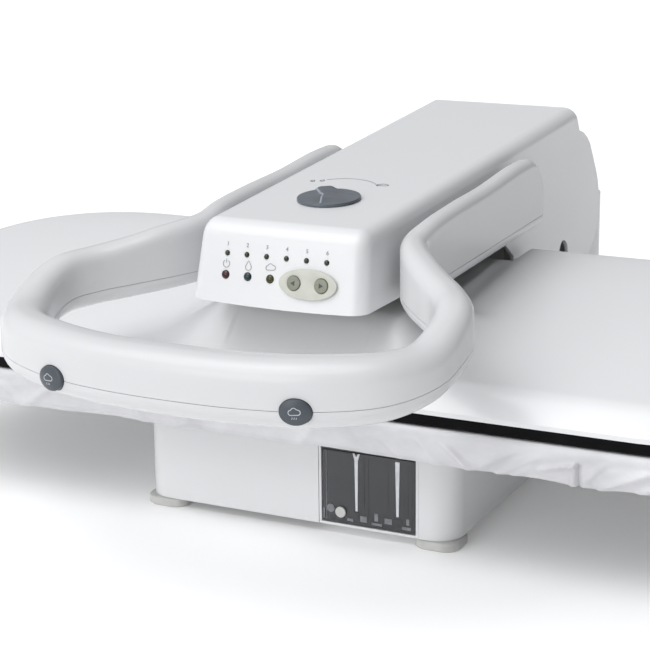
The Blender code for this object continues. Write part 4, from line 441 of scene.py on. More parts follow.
def complete(piece, body, material, *nodes, angle=38):
    """Smooths a piece, gives it its material, sets it on its body and hides what it stands for."""
    choose(piece)
    bpy.ops.object.shade_smooth_by_angle(angle=math.radians(angle))
    wear(piece, material)
    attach(piece, body)
    if nodes:
        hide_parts(*nodes)
    return piece


def arc(centre, radius, start, end, steps):
    points = []
    for k in range(steps + 1):
        angle = math.radians(between(start, end, k / steps))
        points.append((centre[0] + radius * math.cos(angle), centre[1] + radius * math.sin(angle)))
    return points


def axes_matrix(place, *axes):
    """Sets local places along three axes, counted from a place."""
    return Matrix.Translation(place) @ Matrix(axes).transposed().to_4x4()


SIDE_VIEW = axes_matrix((0, 0, 0), (0, 1, 0), (0, 0, 1), (1, 0, 0))


# Base and column

def rounded_rectangle(low_x, high_x, low_y, high_y, radius, steps=12):
    left, right = low_x + radius, high_x - radius
    front, rear = low_y + radius, high_y - radius
    points = []
    for k, centre in enumerate(((right, front), (right, rear), (left, rear), (left, front))):
        points += arc(centre, radius, 90 * k - 90, 90 * k, steps)
    return points


def upright(name, outline, low, high):
    """A solid of a plan outline between two heights."""
    return slab(name, outline, high - low, Matrix.Translation((0, 0, (low + high) / 2)))


def across(name, outline, low, high):
    """A solid of a side view (y, z) between two places across."""
    return slab(name, outline, high - low, Matrix.Translation(((low + high) / 2, 0, 0)) @ SIDE_VIEW)


def base_housing():
    half, low, top = 0.1112, 0.0063, 0.0667
    outline = rounded_rectangle(-half, half, back(0.0233), back(0.4508), 0.017, 16)
    piece = upright("base_shell", outline, low, top)
    bevel(piece, lambda a, b: min(a.z, b.z) > top - 0.0001, 0.0022, 4)
    delete_faces(piece, lambda middle, normal: normal.z < -0.9)
    hollow(piece)
    slot = box("deck_slot", (-0.054, back(0.318), 0.060), (0.054, back(0.428), 0.070))
    mouth = box("tank_mouth", (0.0178, back(0.010), 0.004), (0.0874, back(0.030), 0.0615))
    hole = rod("gland_hole", (-0.070, back(0.440), 0.030), (-0.070, back(0.460), 0.030), 0.0083)
    carve(piece, slot, mouth, hole)
    return complete(piece, "base", WHITE_ABS, "base_housing")


def column_cover():
    """A wall all round, cut away in front and above for the head's drum."""
    half, low, top = 0.0655, 0.0670, 0.1500
    outline = rounded_rectangle(-half, half, back(0.297), back(0.4496), 0.016, 16)
    piece = upright("column_shell", outline, low, top)
    delete_faces(piece, lambda middle, normal: abs(normal.z) > 0.9)
    hollow(piece)
    bite, rim = 0.0465, 0.106
    start = math.degrees(math.asin((rim - HINGE.z) / bite))
    front, above = back(0.290), HINGE.z + 0.005
    side = [(front, rim)] + arc((HINGE.y, HINGE.z), bite, -180 - start, 0, 48)
    side += [(HINGE.y + bite, above), (front, above)]
    carve(piece, across("column_bite", side, -0.08, 0.08))
    rounded(piece, 0.0005, 2)
    return complete(piece, "base", WHITE_ABS, "column_cover")


def feet():
    outer, inner, run, top = 0.1124, 0.0824, 0.030, 0.006
    for name, side in SIDES:
        for end, edge, inward in (("front", back(0.0221), 1), ("rear", back(0.452), -1)):
            xs = sorted((side * outer, side * inner))
            ys = sorted((edge, edge + inward * run))
            piece = upright("pad_%s_%s" % (end, name), rounded_rectangle(*xs, *ys, 0.010, 10), 0, top)
            rounded(piece, 0.0010, 3)
            complete(piece, "base", FOOT_RUBBER, "foot_%s_%s" % (end, name))


base_housing()
column_cover()
feet()


# Platen

HALF, DEPTH, CORNER = 0.350, 0.270, 0.120
# Heights of its cover: edge, crest behind the edge, nose under the head, rear, and how far its ends droop
EDGE_HEIGHT, CREST_HEIGHT, NOSE_HEIGHT, REAR_HEIGHT, DROOP = 0.1000, 0.115, 0.1420, 0.1425, 0.0010
# How far in the edge's slope runs, and from where and over how far the top rises to the rear
EDGE_RUN, RISES_FROM, RISES_OVER = 0.020, 0.020, 0.230
# Where each other form starts and ends, across or in depth
STEEPENS, DROOPS = (0.020, 0.060), (0.230, 0.350)
NOSE_RISES, NOSE_FALLS, NOSE_ENDS = (0.014, 0.055), (0.100, 0.124), (0.052, 0.110)
SUNKEN_WALL, SUNKEN_REAR_WALL, SUNKEN_WIDENS = (0.0460, 0.0500), (0.0702, 0.0742), (0.2214, 0.2336)
COVER_LOW, COVER_WALL = 0.0970, 0.0024


def plate_outline(grow, steps=40):
    return rounded_rectangle(-HALF - grow, HALF + grow, back(-grow), back(DEPTH + grow), CORNER + grow, steps)


def edge_distance(x, depth):
    """How far a point of the platen lies inside its plan outline."""
    beyond_x = abs(x) - (HALF - CORNER)
    beyond_y = abs(depth - DEPTH / 2) - (DEPTH / 2 - CORNER)
    outside = math.hypot(max(beyond_x, 0), max(beyond_y, 0))
    return CORNER - outside - min(max(beyond_x, beyond_y), 0)


def nose_share(x, depth):
    """How much of the raised nose under the head's front stands at a place: 0 to 1."""
    rise, fall = soft_step(depth, *NOSE_RISES), soft_step(depth, *NOSE_FALLS)
    return rise * (1 - fall) * (1 - soft_step(abs(x), *NOSE_ENDS))


def cover_height(x, depth):
    """Top of the platen cover: a slope up to a crest, a nose, then a rise beside a sunken middle."""
    share = clamp(edge_distance(x, depth) / EDGE_RUN)
    climb = 1 - (1 - share) ** between(1.5, 5.0, soft_step(depth, *STEEPENS))
    walls = soft_step(abs(x), *SUNKEN_WALL), soft_step(abs(x), *SUNKEN_REAR_WALL)
    beside = between(*walls, soft_step(depth, *SUNKEN_WIDENS))
    run = clamp((depth - RISES_FROM) / RISES_OVER)
    top = CREST_HEIGHT + (REAR_HEIGHT - CREST_HEIGHT) * (1 - (1 - run) ** 1.5) * beside
    top -= DROOP * soft_step(abs(x), *DROOPS)
    top = between(top, NOSE_HEIGHT, nose_share(x, depth))
    return EDGE_HEIGHT + (top - EDGE_HEIGHT) * climb


def cover_places():
    """Columns across the cover: close at the walls beside the head and at the rounded ends."""
    half = []
    runs = ((0, 0.0065, 7), (0.0458, 0.0004, 12), (0.0515, 0.0030, 7), (0.0700, 0.0004, 12))
    for start, step, count in runs:
        half += [start + step * k for k in range(count)]
    plain, bent = 0.0750, 0.230
    half += [plain + (bent - plain) * k / 32 for k in range(33)]
    half += [bent + CORNER * math.sin(math.radians(90 * k / 30)) for k in range(1, 31)]
    return [-x for x in reversed(half[1:])] + half


def platen_cover():
    columns = cover_places()
    rows = [0.5 - 0.5 * math.cos(math.pi * k / 96) for k in range(97)]
    last_column, last_row = len(columns) + 1, len(rows) + 1

    def place(u, v):
        i, j = round(u * last_column), round(v * last_row)
        x = columns[clamp(i - 1, 0, len(columns) - 1)]
        share = rows[clamp(j - 1, 0, len(rows) - 1)]
        over = max(abs(x) - (HALF - CORNER), 0)
        cutback = CORNER - math.sqrt(max(CORNER**2 - over**2, 0))
        depth = between(cutback, DEPTH - cutback, share)
        rim = i in (0, last_column) or j in (0, last_row)
        return x, back(depth), COVER_LOW if rim else cover_height(x, depth)

    piece = shaped_grid("platen_shell", last_column, last_row, place)
    clean(piece, TINY / 5)
    hollow(piece, COVER_WALL)
    carve(piece, box("neck_hole", (-0.019, back(0.131), 0.105), (0.019, back(0.169), 0.125)))
    return complete(piece, "head", WHITE_ABS, "platen_cover")


def platen_skirt():
    piece = upright("platen_rim", plate_outline(0), 0.0900, 0.0967)
    carve(piece, upright("rim_hollow", plate_outline(-0.010), 0.080, 0.100))
    rounded(piece, 0.0005, 2)
    return complete(piece, "head", SKIRT_NYLON, "platen_skirt")


platen_cover()
platen_skirt()


# Board's cloth and pad

CLOTH_LOW, CLOTH_TOP, SHOULDER, FALL = 0.0670, 0.0893, 0.005, 0.0223
# How far the cloth stands out from the platen's outline, less the room for its folds
CLOTH_OUT = 0.0035 - 0.0012
DEEPEST_FOLD, HEM_TUCK, HEM_WAVE = 0.0019, 0.0012, 0.0013
CLOTH_THICK, CLOTH_AROUND, CLOTH_ROWS = 0.0006, 1000, (18, 6, 10)

# Each crease of the front: place across and share of the fall at its two ends, width, height
FRONT_CREASES = (
    (0.179, 0.00, 0.150, 1.00, 0.0030, 0.0016),
    (0.198, 0.28, 0.176, 0.62, 0.0020, 0.0015),
    (0.172, 0.55, 0.160, 1.00, 0.0024, 0.0010),
    (0.160, 0.05, 0.140, 0.80, 0.0026, 0.0011),
    (0.216, 0.05, 0.206, 0.70, 0.0022, 0.0009),
    (0.246, 0.15, 0.214, 1.00, 0.0028, 0.0015),
    (0.268, 0.00, 0.238, 1.00, 0.0032, 0.0014),
    (0.290, 0.20, 0.268, 1.00, 0.0026, 0.0010),
    (0.096, 0.00, 0.112, 1.00, 0.0030, 0.0011),
    (0.112, 0.00, 0.131, 1.00, 0.0028, 0.0012),
    (0.070, 0.10, 0.086, 0.90, 0.0030, 0.0008),
    (0.030, 0.00, 0.018, 1.00, 0.0036, 0.0006),
    (-0.052, 0.10, -0.070, 1.00, 0.0034, 0.0007),
    (-0.110, 0.00, -0.096, 1.00, 0.0032, 0.0007),
    (-0.165, 0.10, -0.186, 1.00, 0.0030, 0.0010),
    (-0.212, 0.00, -0.190, 1.00, 0.0030, 0.0012),
    (-0.240, 0.15, -0.262, 1.00, 0.0030, 0.0011),
)
CREASE_GAIN = 1.7
# The deep pleat near the front's right: its place, then its ridges and groove: middle, width, height
PLEAT_X = 0.200
PLEAT = ((-0.0032, 0.0024, 0.0020), (0, 0.0010, -0.0044), (0.0045, 0.0035, 0.0008))


def outline_point(share):
    """A point of the board's outline at a share of its length from the rear's middle, and its way out."""
    straight, flat = HALF - CORNER, DEPTH / 2 - CORNER
    middle, bend = back(DEPTH / 2), CORNER * math.pi / 2
    runs = [straight, bend, 2 * flat, bend, 2 * straight, bend, 2 * flat, bend, straight]
    left = share * sum(runs)
    index = 0
    while index < 8 and left > runs[index]:
        left -= runs[index]
        index += 1
    side = index // 2
    if index % 2:
        turn = left / CORNER + side * math.pi / 2
        out = Vector((math.sin(turn), math.cos(turn)))
        x, y = ((straight, flat), (straight, -flat), (-straight, -flat), (-straight, flat))[side]
        return Vector((x, middle + y)) + out * CORNER, out
    out = Vector(((0, 1), (1, 0), (0, -1), (-1, 0), (0, 1))[side])
    start = (
        (0, flat + CORNER),
        (straight + CORNER, flat),
        (straight, -flat - CORNER),
        (-straight - CORNER, -flat),
        (-straight, flat + CORNER),
    )[side]
    along = Vector((out.y, -out.x))
    return Vector((0, middle)) + Vector(start) + along * left, out


def off_line(x, fall, line):
    """Distance of a place on the skirt from a crease, in metres."""
    start, end = Vector((line[0], line[1] * FALL)), Vector((line[2], line[3] * FALL))
    spot, along = Vector((x, fall * FALL)), end - start
    share = clamp((spot - start).dot(along) / along.length_squared)
    return (spot - start - along * share).length


def ridge(distance, width):
    """A soft ridge's share of its height at a distance from its middle."""
    return math.exp(-((distance / width) ** 2))


def fold_depth(x, y, out, fall):
    """How far the cloth stands proud at a place round the board, with fall from 0 at the shoulder to 1."""
    lean = x * 14 + y * 19
    loose = soft_step(fall, 0, 0.35)
    swell = 0.0011 * noise.noise(Vector((lean, fall * 0.9, 3))) * fall
    swell += 0.0013 * noise.noise(Vector((x * 52 + fall * 0.9, y * 52, fall * 1.2))) * loose
    swell += 0.0005 * noise.noise(Vector((x * 120 - fall * 1.6, y * 120, fall * 2.2))) * loose
    if out.y < -0.7:
        for line in FRONT_CREASES:
            swell += CREASE_GAIN * line[5] * ridge(off_line(x, fall, line), line[4]) * loose
        open_pleat = soft_step(fall, 0.16, 0.34)
        for middle, width, height in PLEAT:
            swell += height * ridge(x - PLEAT_X - middle, width) * open_pleat
    return swell


def spine_point(x):
    """The nearest place to x on the middle line that the board's rounded ends turn round."""
    return Vector((clamp(x, -HALF + CORNER, HALF - CORNER), back(DEPTH / 2)))


def board_cloth():
    """One cloth from the hem up the skirt, over the shoulder and in to the middle."""
    skirt_rows, shoulder_rows, top_rows = CLOTH_ROWS
    total = sum(CLOTH_ROWS)
    skirt_top = CLOTH_TOP - SHOULDER

    def place(u, v):
        row = round(v * total)
        close_front = (u + 0.5 * math.sin(math.tau * u) / math.tau) % 1.0
        spot, out = outline_point(close_front)
        if row <= skirt_rows:
            fall = 1 - row / skirt_rows
            fold = max(fold_depth(spot.x, spot.y, out, fall), -DEEPEST_FOLD)
            grow = CLOTH_OUT + fold - HEM_TUCK * max(fall - 0.85, 0) / 0.15
            wave = noise.noise(Vector((spot.x * 22, spot.y * 22, 7)))
            z = between(CLOTH_LOW, skirt_top, row / skirt_rows)
            z += HEM_WAVE * wave * max(fall - 0.7, 0) / 0.3
        elif row <= skirt_rows + shoulder_rows:
            turn = math.radians(90 * (row - skirt_rows) / shoulder_rows)
            grow = CLOTH_OUT - SHOULDER + SHOULDER * math.cos(turn)
            z = skirt_top + SHOULDER * math.sin(turn)
        else:
            start = spot + out * (CLOTH_OUT - SHOULDER)
            flat = start.lerp(spine_point(spot.x), (row - skirt_rows - shoulder_rows) / top_rows)
            return flat.x, flat.y, CLOTH_TOP
        edge = spot + out * grow
        return edge.x, edge.y, z

    piece = shaped_grid("silver_cloth", CLOTH_AROUND, total, place)
    clean(piece, 0.000004)
    lay_flat(piece)
    hollow(piece, CLOTH_THICK, even=False)
    return complete(piece, "base", CLOTH, "board_cover", angle=60)


def lay_flat(piece):
    """The cloth's own coordinates, in metres as it lay flat: plan places, carried on down the skirt."""
    while piece.data.uv_layers:
        piece.data.uv_layers.remove(piece.data.uv_layers[0])
    layer = piece.data.uv_layers.new(name="flat cloth")
    for loop in piece.data.loops:
        point = piece.data.vertices[loop.vertex_index].co
        out = Vector((point.x, point.y)) - spine_point(point.x)
        drop = max(CLOTH_TOP - point.z, 0)
        spread = out.normalized() * drop if out.length > 0.01 else Vector((0, 0))
        layer.data[loop.index].uv = (point.x + spread.x, point.y + spread.y)


def foam_pad():
    piece = upright("foam_pad", plate_outline(0.0002, 24), 0.0690, 0.0882)
    rounded(piece, 0.0040, 4, 60)
    return complete(piece, "base", FELT, "board_foam_pad")


CLOTH_PIECE = board_cloth()
FOAM_PIECE = foam_pad()


# Head

LEAN, SLOPE = math.radians(12.8), math.radians(3.4527)
FACE_UP = Vector((0, math.sin(LEAN), math.cos(LEAN)))
FACE_OUT = Vector((0, -math.cos(LEAN), math.sin(LEAN)))
TOP_ALONG = Vector((0, math.cos(SLOPE), math.sin(SLOPE)))
TOP_OUT = Vector((0, -math.sin(SLOPE), math.cos(SLOPE)))
# Depth and height of the front panel's foot and of the top's front
FOOT_DEPTH, FOOT_HEIGHT = 0.002, 0.153
TOP_DEPTH, TOP_HEIGHT = 0.026, 0.2025
FACE_FOOT = Vector((0, back(FOOT_DEPTH), FOOT_HEIGHT))
FRONT_HALF, REAR_HALF = 0.0605, 0.0655
# The sides draw in towards the top; the front panel bows out towards its foot and sags there
DRAWN_IN, DRAWN_OVER = 0.0045, 0.0711
BOW, SAG = 0.0016, 0.0014
DRUM, LEG_FOOT = 0.0445, 0.108
# Side view from the top's rear end down to the drum, and from the leg forward to the front panel
CREST = ((0.384, 0.2241), (0.391, 0.206), (0.400, 0.203), (0.408, 0.198), (0.414, 0.192), (0.418, 0.184))
UNDERSIDE = ((0.2785, LEG_FOOT), (0.276, 0.121), (0.245, 0.121), (0.245, 0.139), (0.226, FOOT_HEIGHT))

# Places on the front panel, across and up it, and the dial's depth on the top
LAMPS = [(k - 2.5) * 0.0138 - 0.0015 for k in range(6)]
STATES = [0.0157 * k - 0.0360 for k in range(3)]
KEYS = (("left", 0.0127, -1), ("right", 0.0315, 1))
LAMP_ROW, STATE_ROW, KEY_ROW, NUMBER_ROW, MARK_ROW = 0.0302, 0.0167, 0.0158, 0.0360, 0.0235
KEY_HOLE = 0.0047
DIAL_DEPTH = 0.0795


def on_face(x, up, out=0.0):
    return FACE_FOOT + Vector((x, 0, 0)) + FACE_UP * up + FACE_OUT * out


def on_top(x, depth, out=0.0):
    return Vector((x, back(depth), TOP_HEIGHT + (depth - TOP_DEPTH) * math.tan(SLOPE))) + TOP_OUT * out


def head_half(y, z):
    share = (y - back(0)) / (HINGE.y - back(0))
    return between(FRONT_HALF, REAR_HALF, share) - DRAWN_IN * (z - FOOT_HEIGHT) / DRAWN_OVER


def face_top_arc(radius, steps):
    """The rounding between the front panel and the top, in side view."""
    rise = TOP_HEIGHT + (FOOT_DEPTH - TOP_DEPTH) * math.tan(SLOPE) - FOOT_HEIGHT
    rise /= 1 - math.tan(LEAN) * math.tan(SLOPE)
    corner = Vector((back(FOOT_DEPTH) + rise * math.tan(LEAN), FOOT_HEIGHT + rise))
    down, along = -Vector(FACE_UP.yz), Vector(TOP_ALONG.yz)
    half = down.angle(along) / 2
    centre = corner + (down + along).normalized() * (radius / math.sin(half))
    first = corner + down * (radius / math.tan(half)) - centre
    last = corner + along * (radius / math.tan(half)) - centre
    return [tuple(centre + first.slerp(last, k / steps).normalized() * radius) for k in range(steps + 1)]


def face_hole(name, x, up, radius, sides, deep=0.006):
    """A round cutter through the front panel."""
    return rod(name, on_face(x, up, 0.006), on_face(x, up, -deep), radius, sides)


def shaft_ends(side, inner, outer):
    """Two places on the handle's axis, on one side."""
    return [(side * x, *HANDLE_AXIS.yz) for x in (inner, outer)]


def head_openings():
    """Cutters for the arches over the handle's arms, its shaft, and the lamps, keys and dial."""
    arch = [(back(0.337), 0.100), (back(0.355), 0.100)] + arc((back(0.346), 0.120), 0.009, 0, 180, 24)
    cutters = []
    for _, side in SIDES:
        cutters.append(across("arch", arch, *sorted((side * 0.050, side * 0.072))))
        cutters.append(rod("shaft_hole", *shaft_ends(side, 0.050, 0.070), 0.0065))
    cutters += [face_hole("lamp_hole", x, LAMP_ROW, 0.0018, 24) for x in LAMPS]
    cutters += [face_hole("state_hole", x, STATE_ROW, 0.0028, 32) for x in STATES]
    cutters += [face_hole("key_hole", x, KEY_ROW, KEY_HOLE, 32) for _, x, _ in KEYS]
    stem = (on_top(0, DIAL_DEPTH, 0.004), on_top(0, DIAL_DEPTH, -0.008))
    return cutters + [rod("stem_hole", *stem, 0.0036, 32)]


def head_cover():
    leg = math.degrees(math.asin((LEG_FOOT - HINGE.z) / DRUM))
    axis = (HINGE.y, HINGE.z)
    outline = [(back(FOOT_DEPTH), FOOT_HEIGHT)] + face_top_arc(0.0135, 10)
    outline += [(back(depth), z) for depth, z in CREST]
    outline += arc(axis, DRUM, 24, -9, 12) + arc(axis, DRUM, -9, -180 - leg, 48)[1:]
    outline += [(back(depth), z) for depth, z in UNDERSIDE]
    piece = slab("head_shell", outline, 2, SIDE_VIEW)
    for vert in piece.data.vertices:
        vert.co.x = math.copysign(head_half(vert.co.y, vert.co.z), vert.co.x)
    just_under = 0.1529

    def upper_edge(a, b):
        high = max(a.z, b.z) > 0.1555 and min(a.z, b.z) >= just_under
        return a.x * b.x > 0 and high and max(a.y, b.y) < back(0.3843)

    def under(middle, normal):
        if middle.y > back(0.27) and middle.z < 0.150 - DRUM * math.sin(math.radians(9)):
            return abs(normal.x) < 0.5
        return normal.z < -0.5 or (middle.z < just_under and abs(normal.x) < 0.5)

    bevel(piece, upper_edge, 0.009, 8)
    edit(piece)
    for k in range(-6, 7):
        bpy.ops.mesh.select_all(action="SELECT")
        bpy.ops.mesh.bisect(plane_co=(0.0078 * k, 0, 0), plane_no=(1, 0, 0))
    done(piece)
    delete_faces(piece, under)
    for vert in piece.data.vertices:
        up = (vert.co.z - FOOT_HEIGHT) / 0.050
        if vert.co.y < back(0.030) and vert.co.z < 0.2005:
            middle = max(1 - (vert.co.x / FRONT_HALF) ** 2, 0)
            vert.co.y -= BOW * middle * (1 - clamp(up))
            vert.co.z -= SAG * middle * (1 - clamp(up * 4))
    hollow(piece)
    carve(piece, *head_openings())
    complete(piece, "head", WHITE_ABS, "head_cover", angle=30)
    return modifier(piece, "WEIGHTED_NORMAL", keep_sharp=True, weight=90)


head_cover()


# Handle

# Half of its loop, as shares: across, back, seam's rise, top's rise, and from thick to slim
LOOP = (
    (0.0000, 0.0000, 0.000, 0.00, 0.00),
    (0.3676, 0.0160, 0.006, 0.00, 0.00),
    (0.6471, 0.0567, 0.050, 0.03, 0.00),
    (0.8559, 0.1283, 0.150, 0.05, 0.00),
    (0.9654, 0.2337, 0.340, 0.09, 0.05),
    (1.0000, 0.3529, 0.570, 0.25, 0.31),
    (0.9838, 0.4652, 0.720, 0.40, 0.44),
    (0.8993, 0.5668, 0.800, 0.46, 0.50),
    (0.7868, 0.6471, 0.870, 0.54, 0.56),
    (0.6765, 0.7273, 0.940, 0.64, 0.63),
    (0.5956, 0.8075, 0.980, 0.70, 0.75),
    (0.5515, 0.8877, 0.990, 0.74, 0.88),
    (0.5515, 1.0000, 1.000, 0.81, 1.00),
)
# Along an arm, as shares: back, top's rise
ARM = ((0.25, 0.87), (0.55, 0.91), (0.85, 0.99), (1.00, 1.00))
LOOP_HALF, LOOP_FRONT, LOOP_RUN = 0.136, -0.119, 0.187
# At the loop's front and at the arms: heights of seam and top, thickness, depth of the belly
SEAM, TOP, THICK, BELLY = (0.1317, 0.1625), (0.1595, 0.2105), (0.030, 0.014), (0.0126, 0.008)
ARM_X, ARM_FRONT, ARM_REAR, ARM_HALF = 0.075, 0.068, 0.235, 0.007
# Height of the seam at an arm's very end and the run up to it, then radius and height of the rounded end
ARM_SEAM, ARM_RUN = 0.1678, 0.189
ARM_END, ARM_END_HEIGHT = 0.022, 0.1885
SEAM_GAP = 0.00015


def arm_station(depth, top):
    seam = between(SEAM[1], ARM_SEAM, (depth - ARM_FRONT) / ARM_RUN)
    return ARM_X, depth, seam, top, ARM_HALF, BELLY[1]


def loop_stations():
    """Half of the handle, from its front's middle to an arm's end: x, depth, seam, top, half width, belly."""
    half = []
    for x, run, seam, top, slim in LOOP:
        heights = (between(*SEAM, seam), between(*TOP, top))
        sizes = (between(*THICK, slim) / 2, between(*BELLY, slim))
        half.append((LOOP_HALF * x, LOOP_RUN * run + LOOP_FRONT, *heights, *sizes))
    return half + [arm_station(between(ARM_FRONT, ARM_REAR, share), between(*TOP, top)) for share, top in ARM]


def smooth_line(points, fine):
    """A Catmull-Rom line through the points, mirrored at its start, with fine steps in each gap."""
    line = []
    for k in range(len(points) - 1):
        p1, p2, p3 = points[k], points[k + 1], points[min(k + 2, len(points) - 1)]
        p0 = points[k - 1] if k else (-p2[0], *p2[1:])
        pairs = ((p0, p1), (p1, p2), (p2, p3))
        before, gap, after = [max(math.hypot(b[0] - a[0], b[1] - a[1]), 1e-6) ** 0.5 for a, b in pairs]
        for step in range(fine):
            t = step / fine
            values = []
            for a, b, c, d in zip(p0, p1, p2, p3):
                slope_1 = ((b - a) / before - (c - a) / (before + gap) + (c - b) / gap) * gap
                slope_2 = ((c - b) / gap - (d - b) / (gap + after) + (d - c) / after) * gap
                values.append(
                    (2 * t**3 - 3 * t**2 + 1) * b
                    + (t**3 - 2 * t**2 + t) * slope_1
                    + (3 * t**2 - 2 * t**3) * c
                    + (t**3 - t**2) * slope_2
                )
            line.append(tuple(values))
    return line


def handle_line():
    """The whole handle's stations, from one arm's rounded end to the other's."""
    half = smooth_line(loop_stations(), 8)
    for degrees in range(0, 91, 9):
        angle = math.radians(degrees)
        top = ARM_END_HEIGHT + ARM_END * math.cos(angle)
        half.append(arm_station(ARM_REAR + ARM_END * math.sin(angle), top))
    return [(-x, *rest) for x, *rest in reversed(half[1:])] + half


LINE = handle_line()


def handle_frame(k):
    """Place and outward direction of the handle's middle line at one station."""
    before, after = LINE[max(k - 1, 0)], LINE[min(k + 1, len(LINE) - 1)]
    along = Vector((after[0] - before[0], after[1] - before[1])).normalized()
    return Vector((LINE[k][0], back(LINE[k][1]))), Vector((along.y, -along.x))


def crown_section(half, rise, share):
    """A place on the upper shell's section: straight sides and a round crown, from outer to inner side."""
    radius = min(half * 0.9, rise)
    tall = rise - radius
    side = 1 if share < 0.5 else -1
    way = min(share, 1 - share) * 2
    if way < 0.25:
        return side * half, tall * way / 0.25
    turn = math.radians(90 * (way - 0.25) / 0.75)
    return side * (half - radius + radius * math.cos(turn)), tall + radius * math.sin(turn)


def belly_section(half, belly, share):
    """A place on the lower shell's section: a shallow oval with a short upright edge."""
    if share in (0, 1):
        return (half if share == 0 else -half), 0
    turn = math.pi * clamp((share - 0.06) / 0.88)
    return half * math.cos(turn), -belly * between(0.15, 1, math.sin(turn))


def handle_shell(name, upper, node):
    stations, steps = len(LINE) - 1, 28
    rim = back(0.257) - TINY

    def place(u, v):
        k = round(u * stations)
        spot, out = handle_frame(k)
        seam, top, half, belly = LINE[k][2:]
        share = round(v * steps) / steps
        aside, rise = crown_section(half, top - seam, share) if upper else belly_section(half, belly, share)
        edge = spot + out * aside
        return edge.x, edge.y, seam + (SEAM_GAP if upper else -SEAM_GAP) + rise

    piece = shaped_grid(name, stations, steps, place)
    for _, side in SIDES:
        edit(piece)
        select_edges(piece, lambda a, b: min(a.y, b.y) > rim and a.x * side > 0 and b.x * side > 0)
        bpy.ops.mesh.edge_face_add()
        done(piece)
    clean(piece, TINY / 5)
    faces_up = sum(face.normal.z * face.area for face in piece.data.polygons) > 0
    if faces_up != upper:
        edit(piece, "SELECT")
        bpy.ops.mesh.flip_normals()
        done(piece)
    hollow(piece)
    cutters = [steam_solid("button_hole", side, 0.0004, 0.008, -0.008) for _, side in SIDES]
    if upper:
        for _, side in SIDES:
            cutters.append(rod("arm_hole", *shaft_ends(side, 0.064, 0.0725), 0.0053))
    carve(piece, *cutters)
    # The handle wears the white ABS painted greyer as shade
    return complete(piece, "handle", SHADED_HANDLE_ABS, node, angle=40)


# Half sizes of a steam button along and up the handle
STEAM_LONG, STEAM_TALL = 0.0093, 0.0075
STEAM_TOP = 0.0040


def steam_matrix(side):
    """Sets (u, v, level) at a steam button: along the handle, up, and out of its skin."""
    out = Vector((side * 0.2426, -0.97013, 0)).normalized()
    skin = Vector((side * 0.07914, -0.28445, 0.13279))
    return axes_matrix(skin, (-out.y, out.x, 0), (0, 0, 1), out)


def ellipse(half_u, half_v, steps=64):
    turns = [math.tau * k / steps for k in range(steps)]
    return [(half_u * math.cos(turn), half_v * math.sin(turn)) for turn in turns]


def steam_solid(name, side, grow, high, low):
    matrix = steam_matrix(side) @ Matrix.Translation((0, 0, (high + low) / 2))
    return slab(name, ellipse(STEAM_LONG + grow, STEAM_TALL + grow), high - low, matrix)


def dome(name, half_u, half_v, foot, rim, crown, matrix, rings=8, steps=64):
    """An oval cap: upright sides from foot to rim, a small rounding, then a low dome to crown."""
    levels = [(1.0, foot), (1.0, rim - 0.0006), (0.985, rim - 0.0002), (0.945, rim)]
    for k in range(1, rings + 1):
        levels.append((0.945 * (1 - k / rings), rim + (crown - rim) * (1 - (1 - k / rings) ** 2)))

    def place(u, v):
        shrink, level = levels[round(v * (len(levels) - 1))]
        turn = math.tau * u
        return matrix @ Vector((half_u * shrink * math.cos(turn), half_v * shrink * math.sin(turn), level))

    piece = shaped_grid(name, steps, len(levels) - 1, place)
    return close_rim(clean(piece, 2 * TINY))


def stroke(name, points, closed, matrix, wide, body, material=GREY_INK):
    """A printed line as a thin flat ribbon of ink."""
    piece = wire(name, [matrix @ Vector((u, v, 0)) for u, v in points], wide / 2, closed)
    flat = matrix.to_3x3().col[2].normalized()
    for vert in piece.data.vertices:
        level = (vert.co - matrix.translation).dot(flat)
        vert.co -= flat * level * 0.75
    return complete(piece, body, material, angle=60)


# The round puffs of a cloud: middle, radius, start and end of each arc
PUFFS = (((-0.55, 0), 0.38, 270, 100), ((-0.1, 0.28), 0.45, 165, 35), ((0.5, 0.08), 0.38, 85, -90))


def cloud(u, v, size):
    """A generic puff of steam as a closed outline."""
    return [(u + size * x, v + size * y) for puff in PUFFS for x, y in arc(*puff, 10)]


def drop(u, v, size):
    return [(u, v + size)] + arc((u, v - size * 0.25), size * 0.62, 35, -215, 20)


def steam_buttons():
    for name, side in SIDES:
        body = "steam_key_" + name
        matrix = steam_matrix(side)
        cap = dome("steam_cap_" + name, STEAM_LONG, STEAM_TALL, -0.0021, 0.0026, STEAM_TOP, matrix)
        complete(cap, body, BUTTON_ABS, "steam_button_" + name)
        place = matrix @ Matrix.Translation((0, 0, STEAM_TOP))
        stroke("steam_mark_" + name, cloud(0, 0.0004, 0.0038), True, place, 0.0005, body, PALE_INK)
        for k in (-1, 0, 1):
            dash = [(0.0012 * k, -0.0022), (0.0012 * k - 0.0003, -0.0034)]
            stroke("steam_dash_%s_%d" % (name, k + 2), dash, False, place, 0.0004, body, PALE_INK)


handle_shell("grip_upper", True, "handle_upper_shell")
handle_shell("grip_lower", False, "handle_lower_shell")


# Front panel

LENS_RADIUS, LAMP_RADIUS = 0.0015, 0.0025
PAD_X, PAD_HALF, PAD_TALL, PAD_THICK = 0.0221, 0.0198, 0.0096, 0.0012
MARK_WIDE = 0.00036


def face_matrix(x, up, out=0.0):
    """Sets (u, v, level) on the front panel: across, up it, and out of it."""
    return axes_matrix(on_face(x, up, out), (1, 0, 0), FACE_UP, FACE_OUT)


def top_matrix(x, depth, out=0.0):
    """Sets (u, v, level) on the head's top: across, back along it, and out of it."""
    return axes_matrix(on_top(x, depth, out), (1, 0, 0), TOP_ALONG, TOP_OUT)


